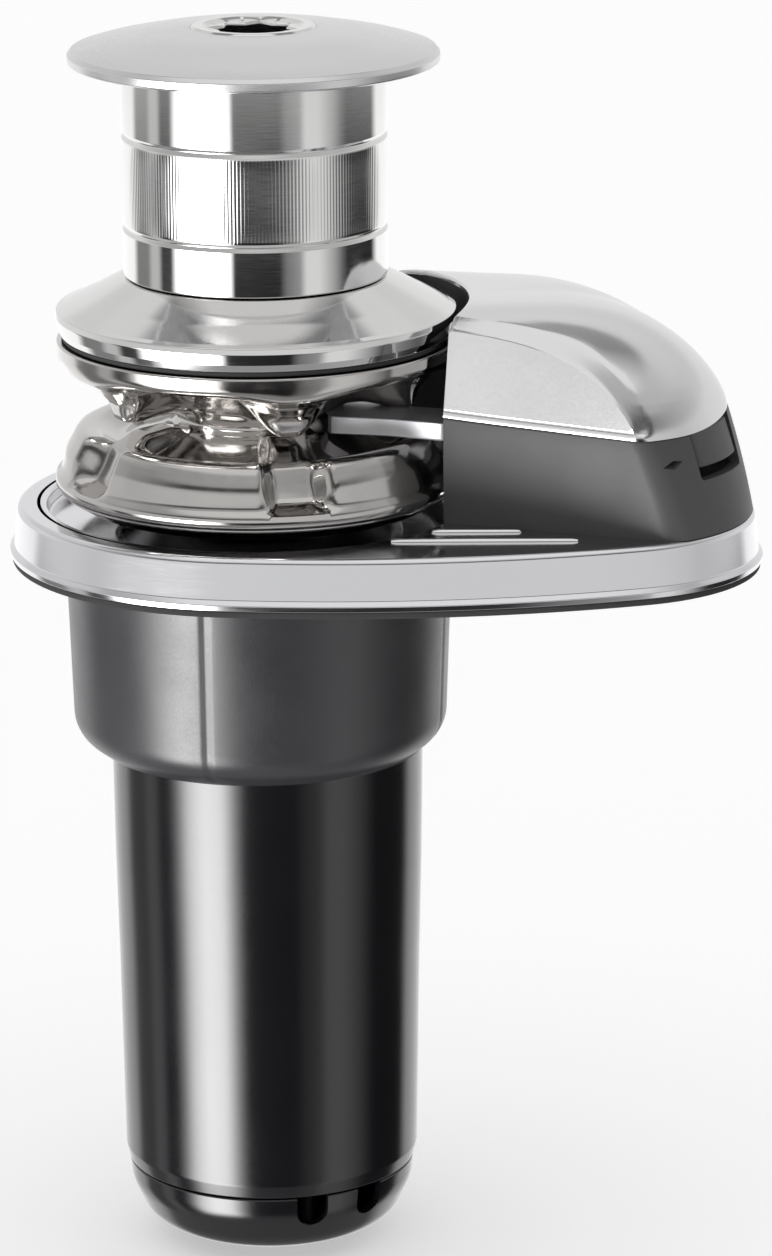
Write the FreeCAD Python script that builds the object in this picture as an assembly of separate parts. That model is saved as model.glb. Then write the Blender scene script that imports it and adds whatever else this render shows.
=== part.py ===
"""Vertical anchor windlass with a rope drum above its chain gypsy and an electric gearmotor below deck.

Frame: millimetres, +Z up along the main shaft, +X along the base towards its nose.
The origin is on the main shaft axis, in the deck plane, which is the underside of the base gasket.
"""
import FreeCAD, Part
import math
import os

V = FreeCAD.Vector

# Base outline: a round end about the shaft, two long side arcs and a nose arc, all tangent.
ROUND_END_R = 71.5
NOSE_R = 50.0
NOSE_TIP_X = 145.0
SIDE_R = ((NOSE_TIP_X - NOSE_R) ** 2 + ROUND_END_R ** 2 - NOSE_R ** 2) / (2 * (ROUND_END_R - NOSE_R))

# Wear ribs on the base: start and length along the turned line, and its offset from the shaft.
RIB_PLACES = ((37.5, 53.0, -51.0), (49.0, 26.0, -40.5))
RIB_HALF = 1.2
RIB_RISE = 1.0
RIB_ANGLE = 7.5

# Levels on the deck side.
GASKET_TOP = 2.0
LIP_TOP = 4.5
RIM_SHOULDER = 14.0
RIM_TOP = 16.5
WELL_FLOOR = 12.0
WELL_R = 60.5
HAWSE_TOP = 44.0
CLUTCH_BOTTOM = 14.0
GYPSY_FOOT = 17.0
GYPSY_BOTTOM = 22.7
GYPSY_MIDDLE = 42.4
GYPSY_TOP = 64.4
CONE_RIM_BOTTOM = 67.0
CONE_RIM_TOP = 72.8
DRUM_BOTTOM = 82.6
DRUM_TOP = 142.2
CAP_TOP = 153.6

# Radii on the main shaft.
SHAFT_R = 11.0
THREAD_R = 10.0
RUNNING_GAP = 0.05
GYPSY_TOP_R = 57.0
GYPSY_BOTTOM_R = 57.9
GYPSY_WAIST_R = 23.0
GROOVE_HEIGHT = 10.0
CONE_RIM_R = 57.3
DRUM_R = 37.6
CAP_R = 52.5
SOCKET_R = 17.7

# Chain pockets: five, for 8 mm chain of 24 mm pitch.
POCKET_COUNT = 5
POCKET_LENGTH = 42.0
POCKET_HEIGHT = 26.0
POCKET_FLOOR_R = 35.0
POCKET_START = 38.5

# Face beside the incoming chain: a vertical plane through this point at this angle to +X.
CHAIN_FACE_X = 56.0
CHAIN_FACE_Y = -22.3
CHAIN_FACE_ANGLE = -12.5
COVER_END_X = 30.0

# Hawse body and cover walls.
HAWSE_FOOT_INSET = 3.0
HAWSE_TOP_INSET = 10.7
HAWSE_WALL = 3.0
COVER_WALL = 2.2
COVER_RISE = 31.0
COVER_GAP = 0.2

# Chain fall through the base.
FALL_X = (62.0, 104.0)
FALL_Y = (-7.0, 25.0)

# Below deck.
HOUSING_TOP_R = 55.6
HOUSING_FOOT_R = 53.8
HOUSING_ROUND = 10.0
HOUSING_BOTTOM = -56.0
HOUSING_BORE_R = 48.5
TUBE_OFFSET = 1.95
TUBE_TOP_R = 45.1
TUBE_FOOT_R = 43.0
TUBE_TOP = -50.0
TUBE_BOTTOM = -182.0
CAP_SEAM = -182.5
UNIT_BOTTOM = -202.0
MOTOR_R = 37.0

# Shaft seal, stud holes, gearbox screws and main bearing.
SEAL_R = 18.0
STUD_HOLE_R = 3.4
STUD_DEPTH = 9.0
STUD_PLACES = [(x, y) for x in (-45.0, 95.0) for y in (-45.0, 45.0)]
HOUSING_SCREW_R = 3.0
HOUSING_SCREW_CIRCLE = 37.0
BEARING_R = 23.5
BALL_CIRCLE_R = 17.25
BALL_R = 3.2
BALL_Z = -3.5

# Chain stripper.
STRIPPER_Z = (39.9, 44.9)
STRIPPER_SCREW_R = 2.5
STRIPPER_SCREW_PLACES = [(65.0, -14.5), (71.0, -15.5)]

# Cover latch, laid out along +X and then turned about the nose arc's centre.
LATCH_TURN = -21.0
LATCH_HALF = 12.0
LATCH_GAP = 0.3
LATCH_WINDOW_X = (110.0, 160.0)
LATCH_WINDOW_BOTTOM = 29.5
LATCH_TAB_BOTTOM = 33.5
LATCH_PIN_X = 130.0
LATCH_PIN_Z = 36.0
LATCH_PIN_R = 1.2
LATCH_HUB_R = 2.6
LATCH_EAR = 4.6
LATCH_EAR_PLAY = 0.6
DOME_CENTRE = (48.0, 8.0)

# Clutch: bush bore, cone faces of the gypsy, friction linings.
BUSH_R = 14.0
LOWER_RECESS = 37.0
LOWER_SLOPE = -0.57
UPPER_RECESS = 48.0
UPPER_SLOPE = 0.655
LINING_GAP = 0.12
LINING_DROP = 1.9

# Motor details.
ADAPTER_SCREW_CIRCLE = 26.0
ROTOR_R = 30.0
ROTOR_SHAFT_R = 6.0
TERMINAL_CIRCLE = 22.0
TIE_ROD_CIRCLE = 20.0
NOTCH_ANGLES = (-65.0, -38.5)

# Planetary train: two stages of 12, 24 and 60 teeth.
SUN_TEETH = 12
PLANET_TEETH = 24
RING_TEETH = 60
PLANETS = 3
PRESSURE_ANGLE = math.radians(25)
BACKLASH = 0.20
OUTPUT_MODULE = 1.4
INPUT_MODULE = 1.25
OUTPUT_GEAR_Z = (-29.0, -18.5)
INPUT_GEAR_Z = (-44.0, -33.5)

PARTS = "parts"


# ---------------------------------------------------------------- helpers

def save(name, shape):
    """Write one node."""
    shape.exportStep(os.path.join(PARTS, name + ".step"))


def disc(radius, bottom, top, x=0.0, y=0.0):
    """A solid cylinder about a vertical line."""
    return Part.makeCylinder(radius, top - bottom, V(x, y, bottom))


def ring(outer, inner, bottom, top, x=0.0, y=0.0):
    """A plain ring about a vertical line."""
    return disc(outer, bottom, top, x, y).cut(disc(inner, bottom - 1, top + 1, x, y))


def block(x, y, z):
    """A box between pairs of coordinates."""
    return Part.makeBox(x[1] - x[0], y[1] - y[0], z[1] - z[0], V(x[0], y[0], z[0]))


def turned(points):
    """A solid of revolution about the main axis from a closed outline of (radius, height)."""
    outline = [V(r, 0, z) for r, z in points]
    face = Part.Face(Part.makePolygon(outline + [outline[0]]))
    return face.revolve(V(0, 0, 0), V(0, 0, 1), 360)


def prism(points, bottom, top):
    """A vertical prism on a plan polygon."""
    outline = [V(x, y, bottom) for x, y in points]
    return Part.Face(Part.makePolygon(outline + [outline[0]])).extrude(V(0, 0, top - bottom))


def polar(radius, degrees):
    """Plan coordinates of a point at a radius and an angle."""
    return radius * math.cos(math.radians(degrees)), radius * math.sin(math.radians(degrees))


HOUSING_SCREW_PLACES = [polar(HOUSING_SCREW_CIRCLE, 60 + 120 * k) for k in range(3)]
ADAPTER_SCREW_PLACES = [polar(ADAPTER_SCREW_CIRCLE, 45 + 90 * k) for k in range(4)]
TERMINAL_PLACES = [polar(TERMINAL_CIRCLE, angle) for angle in (250, 290)]
TIE_ROD_PLACES = [polar(TIE_ROD_CIRCLE, angle) for angle in (60, 150)]


def turned_by(shape, degrees):
    """A copy turned about the main axis."""
    copy = shape.copy()
    copy.rotate(V(0, 0, 0), V(0, 0, 1), degrees)
    return copy


def around(shape, count, start=0.0):
    """Equally spaced copies about the main axis."""
    return [turned_by(shape, start + k * 360.0 / count) for k in range(count)]


def base_wire(inset, height, scale=1.0, centre=(0.0, 0.0)):
    """The base outline, set in by a distance and scaled in plan about a centre."""
    left = ROUND_END_R - inset
    side = SIDE_R - inset
    side_centre_y = SIDE_R - ROUND_END_R
    reach = math.hypot(NOSE_TIP_X - NOSE_R, side_centre_y)
    tangent_x = side * (NOSE_TIP_X - NOSE_R) / reach
    tangent_y = side * side_centre_y / reach - side_centre_y
    middle = math.asin(tangent_x / side) / 2
    middle_x = side * math.sin(middle)
    middle_y = side * math.cos(middle) - side_centre_y
    tip = NOSE_TIP_X - inset

    def point(x, y):
        return V(centre[0] + (x - centre[0]) * scale, centre[1] + (y - centre[1]) * scale, height)

    arcs = [
        Part.Arc(point(0, -left), point(-left, 0), point(0, left)),
        Part.Arc(point(0, left), point(middle_x, middle_y), point(tangent_x, tangent_y)),
        Part.Arc(point(tangent_x, tangent_y), point(tip, 0), point(tangent_x, -tangent_y)),
        Part.Arc(point(tangent_x, -tangent_y), point(middle_x, -middle_y), point(0, -left)),
    ]
    return Part.Wire([arc.toShape() for arc in arcs])


def base_prism(inset, bottom, top):
    """A vertical prism on the base outline."""
    return Part.Face(base_wire(inset, bottom)).extrude(V(0, 0, top - bottom))


def beyond_chain_face(inward):
    """Everything on the chain's side of the face beside it, moved inward by a distance."""
    cutter = block((-200, 300), (-200, inward), (-50, 150))
    cutter.rotate(V(0, 0, 0), V(0, 0, 1), CHAIN_FACE_ANGLE)
    cutter.translate(V(CHAIN_FACE_X, CHAIN_FACE_Y, 0))
    return cutter


def at_latch(shape):
    """A copy of something laid out along +X, turned about the nose arc's centre to where the latch is."""
    copy = shape.copy()
    copy.rotate(V(NOSE_TIP_X - NOSE_R, 0, 0), V(0, 0, 1), LATCH_TURN)
    return copy


def gear_outline(module, teeth, tip, root, backlash):
    """Tooth polygon of an involute gear, with four points on each flank."""
    pitch = module * teeth / 2
    base = pitch * math.cos(PRESSURE_ANGLE)
    half_pitch_angle = math.pi / (2 * teeth) - backlash / (2 * pitch)
    involute = math.tan(PRESSURE_ANGLE) - PRESSURE_ANGLE
    radii = [root, root + (tip - root) * 0.4, root + (tip - root) * 0.7, tip]
    flank = []
    for radius in radii:
        angle = math.acos(min(1.0, base / max(radius, base)))
        flank.append((radius, half_pitch_angle + involute - (math.tan(angle) - angle)))
    points = []
    for tooth in range(teeth):
        centre = 2 * math.pi * tooth / teeth
        for radius, half in flank:
            points.append((radius * math.cos(centre - half), radius * math.sin(centre - half)))
        for radius, half in reversed(flank):
            points.append((radius * math.cos(centre + half), radius * math.sin(centre + half)))
    return points


def spur_gear(module, teeth, span, bore, tooth_shift=0.0):
    """An external gear about the main axis. tooth_shift turns it by a share of one tooth."""
    pitch = module * teeth / 2
    outline = gear_outline(module, teeth, pitch + 0.9 * module, pitch - 1.2 * module, BACKLASH)
    body = prism(outline, span[0], span[1]).cut(disc(bore, span[0] - 1, span[1] + 1))
    return turned_by(body, tooth_shift * 360.0 / teeth)


def ring_gear(module, span, outer):
    """A fixed internal gear with a tooth, not a gap, on +X."""
    pitch = module * RING_TEETH / 2
    gap = gear_outline(module, RING_TEETH, pitch + 1.2 * module, pitch - 0.9 * module, -BACKLASH)
    hole = turned_by(prism(gap, span[0] - 1, span[1] + 1), 180.0 / RING_TEETH)
    return disc(outer, span[0], span[1]).cut(hole)


# ---------------------------------------------------------------- deck side, fixed

def base_plate():
    """Polished plate: drafted rim, round well for the gypsy, chain fall, four blind stud holes."""
    rim = [base_wire(0.4, GASKET_TOP), base_wire(0.0, LIP_TOP)]
    rim += [base_wire(1.6, RIM_SHOULDER), base_wire(3.6, RIM_TOP)]
    plate = Part.makeLoft(rim, True, True)
    plate = plate.cut(disc(WELL_R, WELL_FLOOR, RIM_TOP + 1))
    plate = plate.cut(block(FALL_X, FALL_Y, (0, RIM_TOP + 1)))
    plate = plate.cut(disc(SEAL_R, 4.0, WELL_FLOOR + 1))
    plate = plate.cut(disc(SHAFT_R + 2, 0, 5.0))
    for x, y in STUD_PLACES:
        plate = plate.cut(disc(STUD_HOLE_R, GASKET_TOP - 1, GASKET_TOP + STUD_DEPTH, x, y))
    for x, y in HOUSING_SCREW_PLACES:
        plate = plate.cut(disc(HOUSING_SCREW_R, GASKET_TOP - 1, 10.0, x, y))
    return plate.fuse(chain_ribs())


def chain_ribs():
    """Two raised wear ribs on the ramp, where the chain slides in beside the cover."""
    ribs = []
    for start, length, offset in RIB_PLACES:
        sides = (offset - RIB_HALF, offset + RIB_HALF)
        rib = block((start, start + length), sides, (RIM_TOP - RIB_RISE, RIM_TOP + RIB_RISE))
        rib.rotate(V(0, 0, 0), V(0, 0, 1), RIB_ANGLE)
        ribs.append(rib.cut(disc(WELL_R, 0, RIM_TOP + 2 * RIB_RISE)))
    return ribs[0].fuse(ribs[1:])


def base_gasket():
    """Rubber gasket under the base, open round the housing, the chain fall and the studs."""
    gasket = base_prism(0.8, 0.0, GASKET_TOP)
    gasket = gasket.cut(disc(HOUSING_TOP_R + 0.6, -1, 3))
    gasket = gasket.cut(block(FALL_X, FALL_Y, (-1, 3)))
    for x, y in STUD_PLACES:
        gasket = gasket.cut(disc(STUD_HOLE_R + 1, -1, 3, x, y))
    return gasket


def hawse_shell(inset, inward, bottom, top):
    """Solid inside the hawse walls: lofted from the foot to the top, less the chain side."""
    loft = Part.makeLoft([
        base_wire(HAWSE_FOOT_INSET + inset, bottom),
        base_wire(HAWSE_TOP_INSET + inset, top)], True, True)
    return loft.cut(beyond_chain_face(inward))


def hawse_wall():
    """The plain wall of the hawse body, before the latch window is cut."""
    outer = hawse_shell(0.0, 0.0, RIM_TOP, HAWSE_TOP)
    outer = outer.cut(block((-200, COVER_END_X), (-200, 200), (0, 100)))
    wall = outer.cut(hawse_shell(HAWSE_WALL, HAWSE_WALL, RIM_TOP, HAWSE_TOP))
    return wall.cut(disc(WELL_R, 0, 100))


def hawse_body(wall):
    """Black moulding round the chain fall, with a pillar for the stripper and a latch window."""
    window = block(LATCH_WINDOW_X, (-LATCH_HALF, LATCH_HALF), (LATCH_WINDOW_BOTTOM, HAWSE_TOP + 1))
    body = wall.cut(at_latch(window))
    pillar = block((61, 75), (-24, -9), (RIM_TOP, STRIPPER_Z[0])).cut(beyond_chain_face(HAWSE_WALL))
    body = body.fuse(pillar.cut(disc(WELL_R, 0, 100)))
    for side in (-1, 1):
        near, far = sorted((side * (LATCH_HALF + LATCH_EAR_PLAY), side * (LATCH_HALF + LATCH_EAR)))
        level = (LATCH_PIN_Z - 2.5, LATCH_PIN_Z + 2.5)
        ear = block((LATCH_PIN_X - 2.5, LATCH_PIN_X + 8), (near, far), level)
        body = body.fuse(at_latch(ear).common(hawse_shell(0.5, 0.5, RIM_TOP, HAWSE_TOP)))
    body = body.cut(latch_pin())
    for x, y in STRIPPER_SCREW_PLACES:
        body = body.cut(disc(STRIPPER_SCREW_R, 28, 50, x, y))
    return body


def latch_pin():
    """Hinge pin of the latch, level, held in the ears of the hawse body."""
    half = LATCH_HALF + LATCH_EAR
    return at_latch(Part.makeCylinder(LATCH_PIN_R, 2 * half, V(LATCH_PIN_X, -half, LATCH_PIN_Z), V(0, 1, 0)))


def cover_latch(wall):
    """Thumb tab in the nose window. It turns inward about its pin to free the cover."""
    half = LATCH_HALF - LATCH_GAP
    window = block(LATCH_WINDOW_X, (-half, half), (LATCH_TAB_BOTTOM, HAWSE_TOP - 0.5))
    tab = wall.common(at_latch(window))
    hub = Part.makeCylinder(LATCH_HUB_R, 2 * half, V(LATCH_PIN_X, -half, LATCH_PIN_Z), V(0, 1, 0))
    arm = block((LATCH_PIN_X, LATCH_PIN_X + 6), (-half, half), (LATCH_PIN_Z - 1.5, LATCH_PIN_Z + 2))
    tab = tab.fuse([at_latch(hub), at_latch(arm).common(hawse_shell(1.0, 1.0, RIM_TOP, HAWSE_TOP))])
    bore = Part.makeCylinder(LATCH_PIN_R + RUNNING_GAP, 60, V(LATCH_PIN_X, -30, LATCH_PIN_Z), V(0, 1, 0))
    return tab.cut(at_latch(bore))


def latch_spring():
    """Leaf spring standing behind the tab."""
    leaf = block((LATCH_PIN_X - 5.2, LATCH_PIN_X - 4.6), (-5, 5), (RIM_TOP, LATCH_PIN_Z + 4))
    foot = block((LATCH_PIN_X - 14, LATCH_PIN_X - 4.6), (-5, 5), (RIM_TOP, RIM_TOP + 0.6))
    return at_latch(leaf.fuse(foot))


def chain_stripper():
    """Flat tongue that reaches into the gypsy's groove and lifts the chain off it."""
    outline = [
        (24.8, -11.5), (55.6, -21.9), (55.6, -18.8), (74.5, -22.9),
        (74.5, -9.0), (60.0, -5.0), (26.0, 1.0)]
    tongue = prism(outline, STRIPPER_Z[0], STRIPPER_Z[1]).cut(disc(GYPSY_WAIST_R + 1.6, 0, 100))
    for x, y in STRIPPER_SCREW_PLACES:
        tongue = tongue.cut(disc(STRIPPER_SCREW_R, 0, 100, x, y))
    return tongue


def cap_screw(radius, head_radius, x, y, low, under_head, head_height, upward=True):
    """A socket screw with its head above, or below when upward is False, and a hexagon socket."""
    if upward:
        shank = disc(radius, low, under_head, x, y)
        head = disc(head_radius, under_head, under_head + head_height, x, y)
        socket_bottom = under_head + head_height * 0.4
    else:
        shank = disc(radius, under_head, low, x, y)
        head = disc(head_radius, under_head - head_height, under_head, x, y)
        socket_bottom = under_head - head_height - 1
    hexagon = [(x + head_radius * 0.5 * math.cos(math.radians(60 * k)),
                y + head_radius * 0.5 * math.sin(math.radians(60 * k))) for k in range(6)]
    return shank.fuse(head).cut(prism(hexagon, socket_bottom, socket_bottom + head_height * 0.6 + 1))


def dome_levels(rise):
    """Plan scale and height of the contours of the cover, a super-ellipse in section."""
    scales = [1.0, 0.985, 0.96, 0.92, 0.86, 0.78, 0.68, 0.55, 0.4, 0.25, 0.12]
    return [(scale, rise * (1 - scale ** 3.5) ** 0.75) for scale in scales]


def dome(inset, rise, bottom):
    """Solid under the cover's skin, built up through contours of the base outline."""
    wires = [base_wire(HAWSE_TOP_INSET + inset, bottom + height, scale, DOME_CENTRE)
             for scale, height in dome_levels(rise)]
    return Part.makeLoft(wires, True, False)


def chain_cover():
    """Domed stainless cover over the chain fall, cut round beside the gypsy and flat beside the chain."""
    bottom = HAWSE_TOP + COVER_GAP
    skin = dome(0.0, COVER_RISE, bottom).cut(beyond_chain_face(0.0))
    hollow = dome(COVER_WALL, COVER_RISE - COVER_WALL, bottom).cut(beyond_chain_face(COVER_WALL))
    skin = skin.cut(block((-200, COVER_END_X), (-200, 200), (0, 150)))
    skin = skin.cut(hollow).cut(disc(WELL_R, 0, 150))
    lug = block((118, 121), (-6, 6), (bottom - 6, bottom + 14))
    lug = at_latch(lug).common(dome(0.5, COVER_RISE - 0.5, bottom).fuse(base_prism(15, 20, bottom + 0.01)))
    return skin.fuse(lug)


def shaft_seal():
    """Lip seal in the base round the main shaft."""
    return ring(SEAL_R, SHAFT_R + RUNNING_GAP, 5.0, WELL_FLOOR)


# ---------------------------------------------------------------- on the main shaft

def main_shaft():
    """Output shaft: plain for the gypsy, keyed for the cones and drum, threaded under the cap."""
    shaft = disc(SHAFT_R, -18.0, 119.0).fuse(disc(THREAD_R, 118.0, 139.0))
    return shaft.cut(shaft_keys())


def shaft_keys():
    """Two parallel keys: one for the lower cone, one for the upper cone and the drum."""
    return Part.makeCompound([block((8.0, 13.5), (-3, 3), span) for span in ((16.0, 33.0), (54.0, 114.0))])


def recess_height(radius, low_radius_height, slope):
    """Height of a conical clutch face at a radius."""
    return low_radius_height + (radius - 16.0) * slope


def lower_clutch_cone():
    """Steel cone under the gypsy, keyed to the shaft."""
    top_in = recess_height(16.0, LOWER_RECESS, LOWER_SLOPE) - LINING_DROP
    top_out = recess_height(38.0, LOWER_RECESS, LOWER_SLOPE) - LINING_DROP
    cone = turned([
        (SHAFT_R, CLUTCH_BOTTOM), (28, CLUTCH_BOTTOM), (38, 20.0),
        (38, top_out), (16, top_in), (SHAFT_R, top_in)])
    return cone.cut(shaft_keys())


def cone_lining(recess, slope, sign):
    """Friction ring between a cone and the gypsy."""
    gap = sign * LINING_GAP
    thick = sign * LINING_DROP
    inner = recess_height(17.0, recess, slope)
    outer = recess_height(38.0, recess, slope)
    return turned([(17, inner + gap), (38, outer + gap), (38, outer + thick), (17, inner + thick)])


def clutch_cone_flange():
    """Upper cone with its broad polished flange. The drum stands on it."""
    low_in = recess_height(16.0, UPPER_RECESS, UPPER_SLOPE) + LINING_DROP
    low_out = recess_height(40.0, UPPER_RECESS, UPPER_SLOPE) + LINING_DROP
    flange = turned([
        (SHAFT_R, low_in), (16, low_in), (40, low_out), (40, CONE_RIM_BOTTOM),
        (CONE_RIM_R - 0.6, CONE_RIM_BOTTOM), (CONE_RIM_R, CONE_RIM_BOTTOM + 0.6),
        (CONE_RIM_R, CONE_RIM_TOP - 0.8), (CONE_RIM_R - 0.9, CONE_RIM_TOP),
        (DRUM_R + 0.4, DRUM_BOTTOM), (SHAFT_R, DRUM_BOTTOM)])
    return flange.cut(shaft_keys())


def cone_seal():
    """Black ring that closes the gap between the flange and the gypsy."""
    return ring(CONE_RIM_R - 0.5, 43.0, GYPSY_TOP + 0.3, CONE_RIM_BOTTOM)


def drum():
    """Rope drum: hollow, with two fine grooves either side of its ribbed band, and a keyed hub."""
    wall = DRUM_R - 6.0
    points = [(SHAFT_R, DRUM_BOTTOM), (DRUM_R, DRUM_BOTTOM)]
    for groove in (96.9, 123.3):
        points += [(DRUM_R, groove - 0.9), (DRUM_R - 0.5, groove - 0.4)]
        points += [(DRUM_R - 0.5, groove + 0.4), (DRUM_R, groove + 0.9)]
    points += [(DRUM_R, DRUM_TOP), (wall, DRUM_TOP), (wall, DRUM_BOTTOM + 7), (18, DRUM_BOTTOM + 7)]
    points += [(18, 117.0), (SHAFT_R, 117.0)]
    return turned(points).cut(shaft_keys())


def drum_cap():
    """Domed cap and clutch nut in one: its boss runs on the shaft thread."""
    bore = THREAD_R + RUNNING_GAP
    low = DRUM_TOP + 0.3
    return turned([
        (bore, 119.6), (22, 119.6), (22, low), (36, low), (38.6, low + 1.6), (CAP_R - 1.4, low + 1.6),
        (CAP_R - 0.6, low), (CAP_R, low + 0.5), (CAP_R, 145.8), (CAP_R - 0.7, 146.6),
        (46, 148.4), (38, 150.2),
        (28, 152.0), (SOCKET_R, 153.2), (SOCKET_R, 139.5), (bore, 139.5)])


def handle_socket():
    """Socket ring for a winch handle, with an eight-point star hole."""
    half = 17.5 / 2
    body = turned([
        (0.0, 139.5), (SOCKET_R, 139.5), (SOCKET_R, 153.0), (SOCKET_R - 0.8, CAP_TOP), (0.0, CAP_TOP)])
    square = block((-half, half), (-half, half), (139, 155))
    return body.cut(square).cut(turned_by(square, 45))


def gypsy():
    """Chain wheel: two flanged halves with five link pockets, a deep groove and two conical clutch faces."""
    low = GYPSY_MIDDLE - GROOVE_HEIGHT / 2
    high = GYPSY_MIDDLE + GROOVE_HEIGHT / 2
    body = turned([
        (BUSH_R, LOWER_RECESS), (16, LOWER_RECESS), (41, recess_height(41, LOWER_RECESS, LOWER_SLOPE)),
        (41, GYPSY_FOOT), (50.5, GYPSY_FOOT), (GYPSY_BOTTOM_R, GYPSY_BOTTOM),
        (GYPSY_BOTTOM_R, 26.5), (54, 33), (49.6, low),
        (26, low), (GYPSY_WAIST_R, GYPSY_MIDDLE - 2), (GYPSY_WAIST_R, GYPSY_MIDDLE + 2), (26, high),
        (45, high), (46.5, 50.5), (49, 54), (53, 56.5), (55.6, 59), (GYPSY_TOP_R, 60.6),
        (GYPSY_TOP_R, GYPSY_TOP), (41, GYPSY_TOP), (41, recess_height(41, UPPER_RECESS, UPPER_SLOPE)),
        (16, UPPER_RECESS), (BUSH_R, UPPER_RECESS)])
    half_z = POCKET_HEIGHT / 2
    flat = POCKET_LENGTH / 2 - half_z
    pocket = block((POCKET_FLOOR_R, 70), (-flat, flat), (GYPSY_MIDDLE - half_z, GYPSY_MIDDLE + half_z))
    for side in (-flat, flat):
        end = V(POCKET_FLOOR_R, side, GYPSY_MIDDLE)
        pocket = pocket.fuse(Part.makeCylinder(half_z, 35, end, V(1, 0, 0)))
    for cutter in around(pocket, POCKET_COUNT, POCKET_START):
        body = body.cut(cutter)
    return body


# ---------------------------------------------------------------- gearbox

def gearbox_housing():
    """Cast housing: bearing seat above, planetary bore, and a rounded foot open to the motor tube."""
    arc = []
    for step in range(7):
        angle = math.radians(15 * step)
        radius = HOUSING_FOOT_R - HOUSING_ROUND + HOUSING_ROUND * math.cos(angle)
        arc.append((radius, HOUSING_BOTTOM + HOUSING_ROUND - HOUSING_ROUND * math.sin(angle)))
    body = turned([(0, GASKET_TOP), (HOUSING_TOP_R, GASKET_TOP)] + arc + [(0, HOUSING_BOTTOM)])
    body = body.cut(disc(HOUSING_BORE_R, TUBE_TOP, -12.0))
    body = body.cut(disc(TUBE_TOP_R + 0.1, HOUSING_BOTTOM - 1, TUBE_TOP + 0.01, TUBE_OFFSET))
    body = body.cut(disc(BEARING_R, -9.0, GASKET_TOP + 1)).cut(disc(20, -13, -8))
    body = body.cut(ring(BEARING_R + 4.6, BEARING_R + 2.0, 0.4, GASKET_TOP + 1))
    for x, y in HOUSING_SCREW_PLACES:
        body = body.cut(disc(HOUSING_SCREW_R, -13, GASKET_TOP + 1, x, y))
    for angle in (-97.5, -7.5, 82.5, 172.5):
        x, y = polar(HOUSING_TOP_R + 0.6, angle)
        body = body.cut(disc(1.2, HOUSING_BOTTOM - 1, GASKET_TOP - 3, x, y))
    return body


def bearing_race(outer, inner):
    """One race of the main bearing, with its ball groove."""
    groove = Part.makeTorus(BALL_CIRCLE_R, BALL_R + 0.1, V(0, 0, BALL_Z))
    return ring(outer, inner, -9.0, GASKET_TOP).cut(groove)


def bearing_balls():
    """Ten balls of the main bearing."""
    ball = Part.makeSphere(BALL_R, V(BALL_CIRCLE_R, 0, BALL_Z))
    return Part.makeCompound(around(ball, 10))


def carrier(radius, span, pin_circle, pin_radius, bore):
    """Planet carrier plate with three pin holes."""
    plate = disc(radius, span[0], span[1])
    if bore:
        plate = plate.cut(disc(bore, span[0] - 1, span[1] + 1))
    for k in range(PLANETS):
        x, y = polar(pin_circle, 120 * k)
        plate = plate.cut(disc(pin_radius, span[0] - 1, span[1] + 1, x, y))
    return plate


def planet_pins(span, pin_circle, pin_radius):
    """Three planet pins."""
    spots = [polar(pin_circle, 120 * k) for k in range(PLANETS)]
    return Part.makeCompound([disc(pin_radius, span[0], span[1], x, y) for x, y in spots])


def save_planets(stage, module, span, pin_radius):
    """Write the three planets of a stage, each with a gap towards the sun."""
    pin_circle = module * (SUN_TEETH + PLANET_TEETH) / 2
    for k in range(PLANETS):
        gear = spur_gear(module, PLANET_TEETH, span, pin_radius + RUNNING_GAP, 0.5)
        gear.translate(V(pin_circle, 0, 0))
        save("%s_planet_%d" % (stage, k + 1), turned_by(gear, 120 * k))


# ---------------------------------------------------------------- motor

def motor_adapter():
    """Plate between the gearbox and the motor, with the front rotor bearing seat."""
    plate = disc(HOUSING_BORE_R, TUBE_TOP, -46.0).cut(disc(9.0, TUBE_TOP - 1, -40))
    for x, y in ADAPTER_SCREW_PLACES:
        plate = plate.cut(disc(2.5, TUBE_TOP - 1, -40, x, y))
    return plate


def motor_case():
    """Steel motor body with a front wall."""
    case = ring(MOTOR_R, MOTOR_R - 3.0, -158.0, TUBE_TOP)
    wall = disc(MOTOR_R - 2.5, TUBE_TOP - 9, TUBE_TOP).cut(disc(11.0, TUBE_TOP - 10, TUBE_TOP + 1))
    for x, y in ADAPTER_SCREW_PLACES:
        wall = wall.cut(disc(2.5, TUBE_TOP - 10, TUBE_TOP + 1, x, y))
    return case.fuse(wall)


def magnets():
    """Four arc magnets lining the motor case."""
    shell = ring(MOTOR_R - 3.0, MOTOR_R - 6.5, -138.0, -72.0)
    sector = prism([(0, 0), (60, 42), (60, -42)], -139, -71)
    return Part.makeCompound([shell.common(turned_by(sector, 90 * k + 45)) for k in range(4)])


def rotor_core():
    """Laminated core with twelve winding slots."""
    core = ring(ROTOR_R, ROTOR_SHAFT_R, -135.0, -75.0)
    slot = block((16, 26.5), (-2.6, 2.6), (-136, -74)).fuse(block((20, 40), (-0.9, 0.9), (-136, -74)))
    for cutter in around(slot, 12):
        core = core.cut(cutter)
    return core


def rotor_windings():
    """Twelve coil sides in the slots, joined by two end rings."""
    bars = around(block((16.2, 26.3), (-2.4, 2.4), (-135.0, -75.0)), 12, 0.0)
    ends = [ring(26.3, 14.0, -141.0, -135.0), ring(26.3, 14.0, -75.0, -69.0)]
    return bars[0].fuse(bars[1:] + ends)


def commutator():
    """Commutator with twelve bars."""
    body = ring(14.0, ROTOR_SHAFT_R, -154.0, -142.0)
    for cutter in around(block((11, 15), (-0.3, 0.3), (-155, -141)), 12, 15.0):
        body = body.cut(cutter)
    return body


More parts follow.
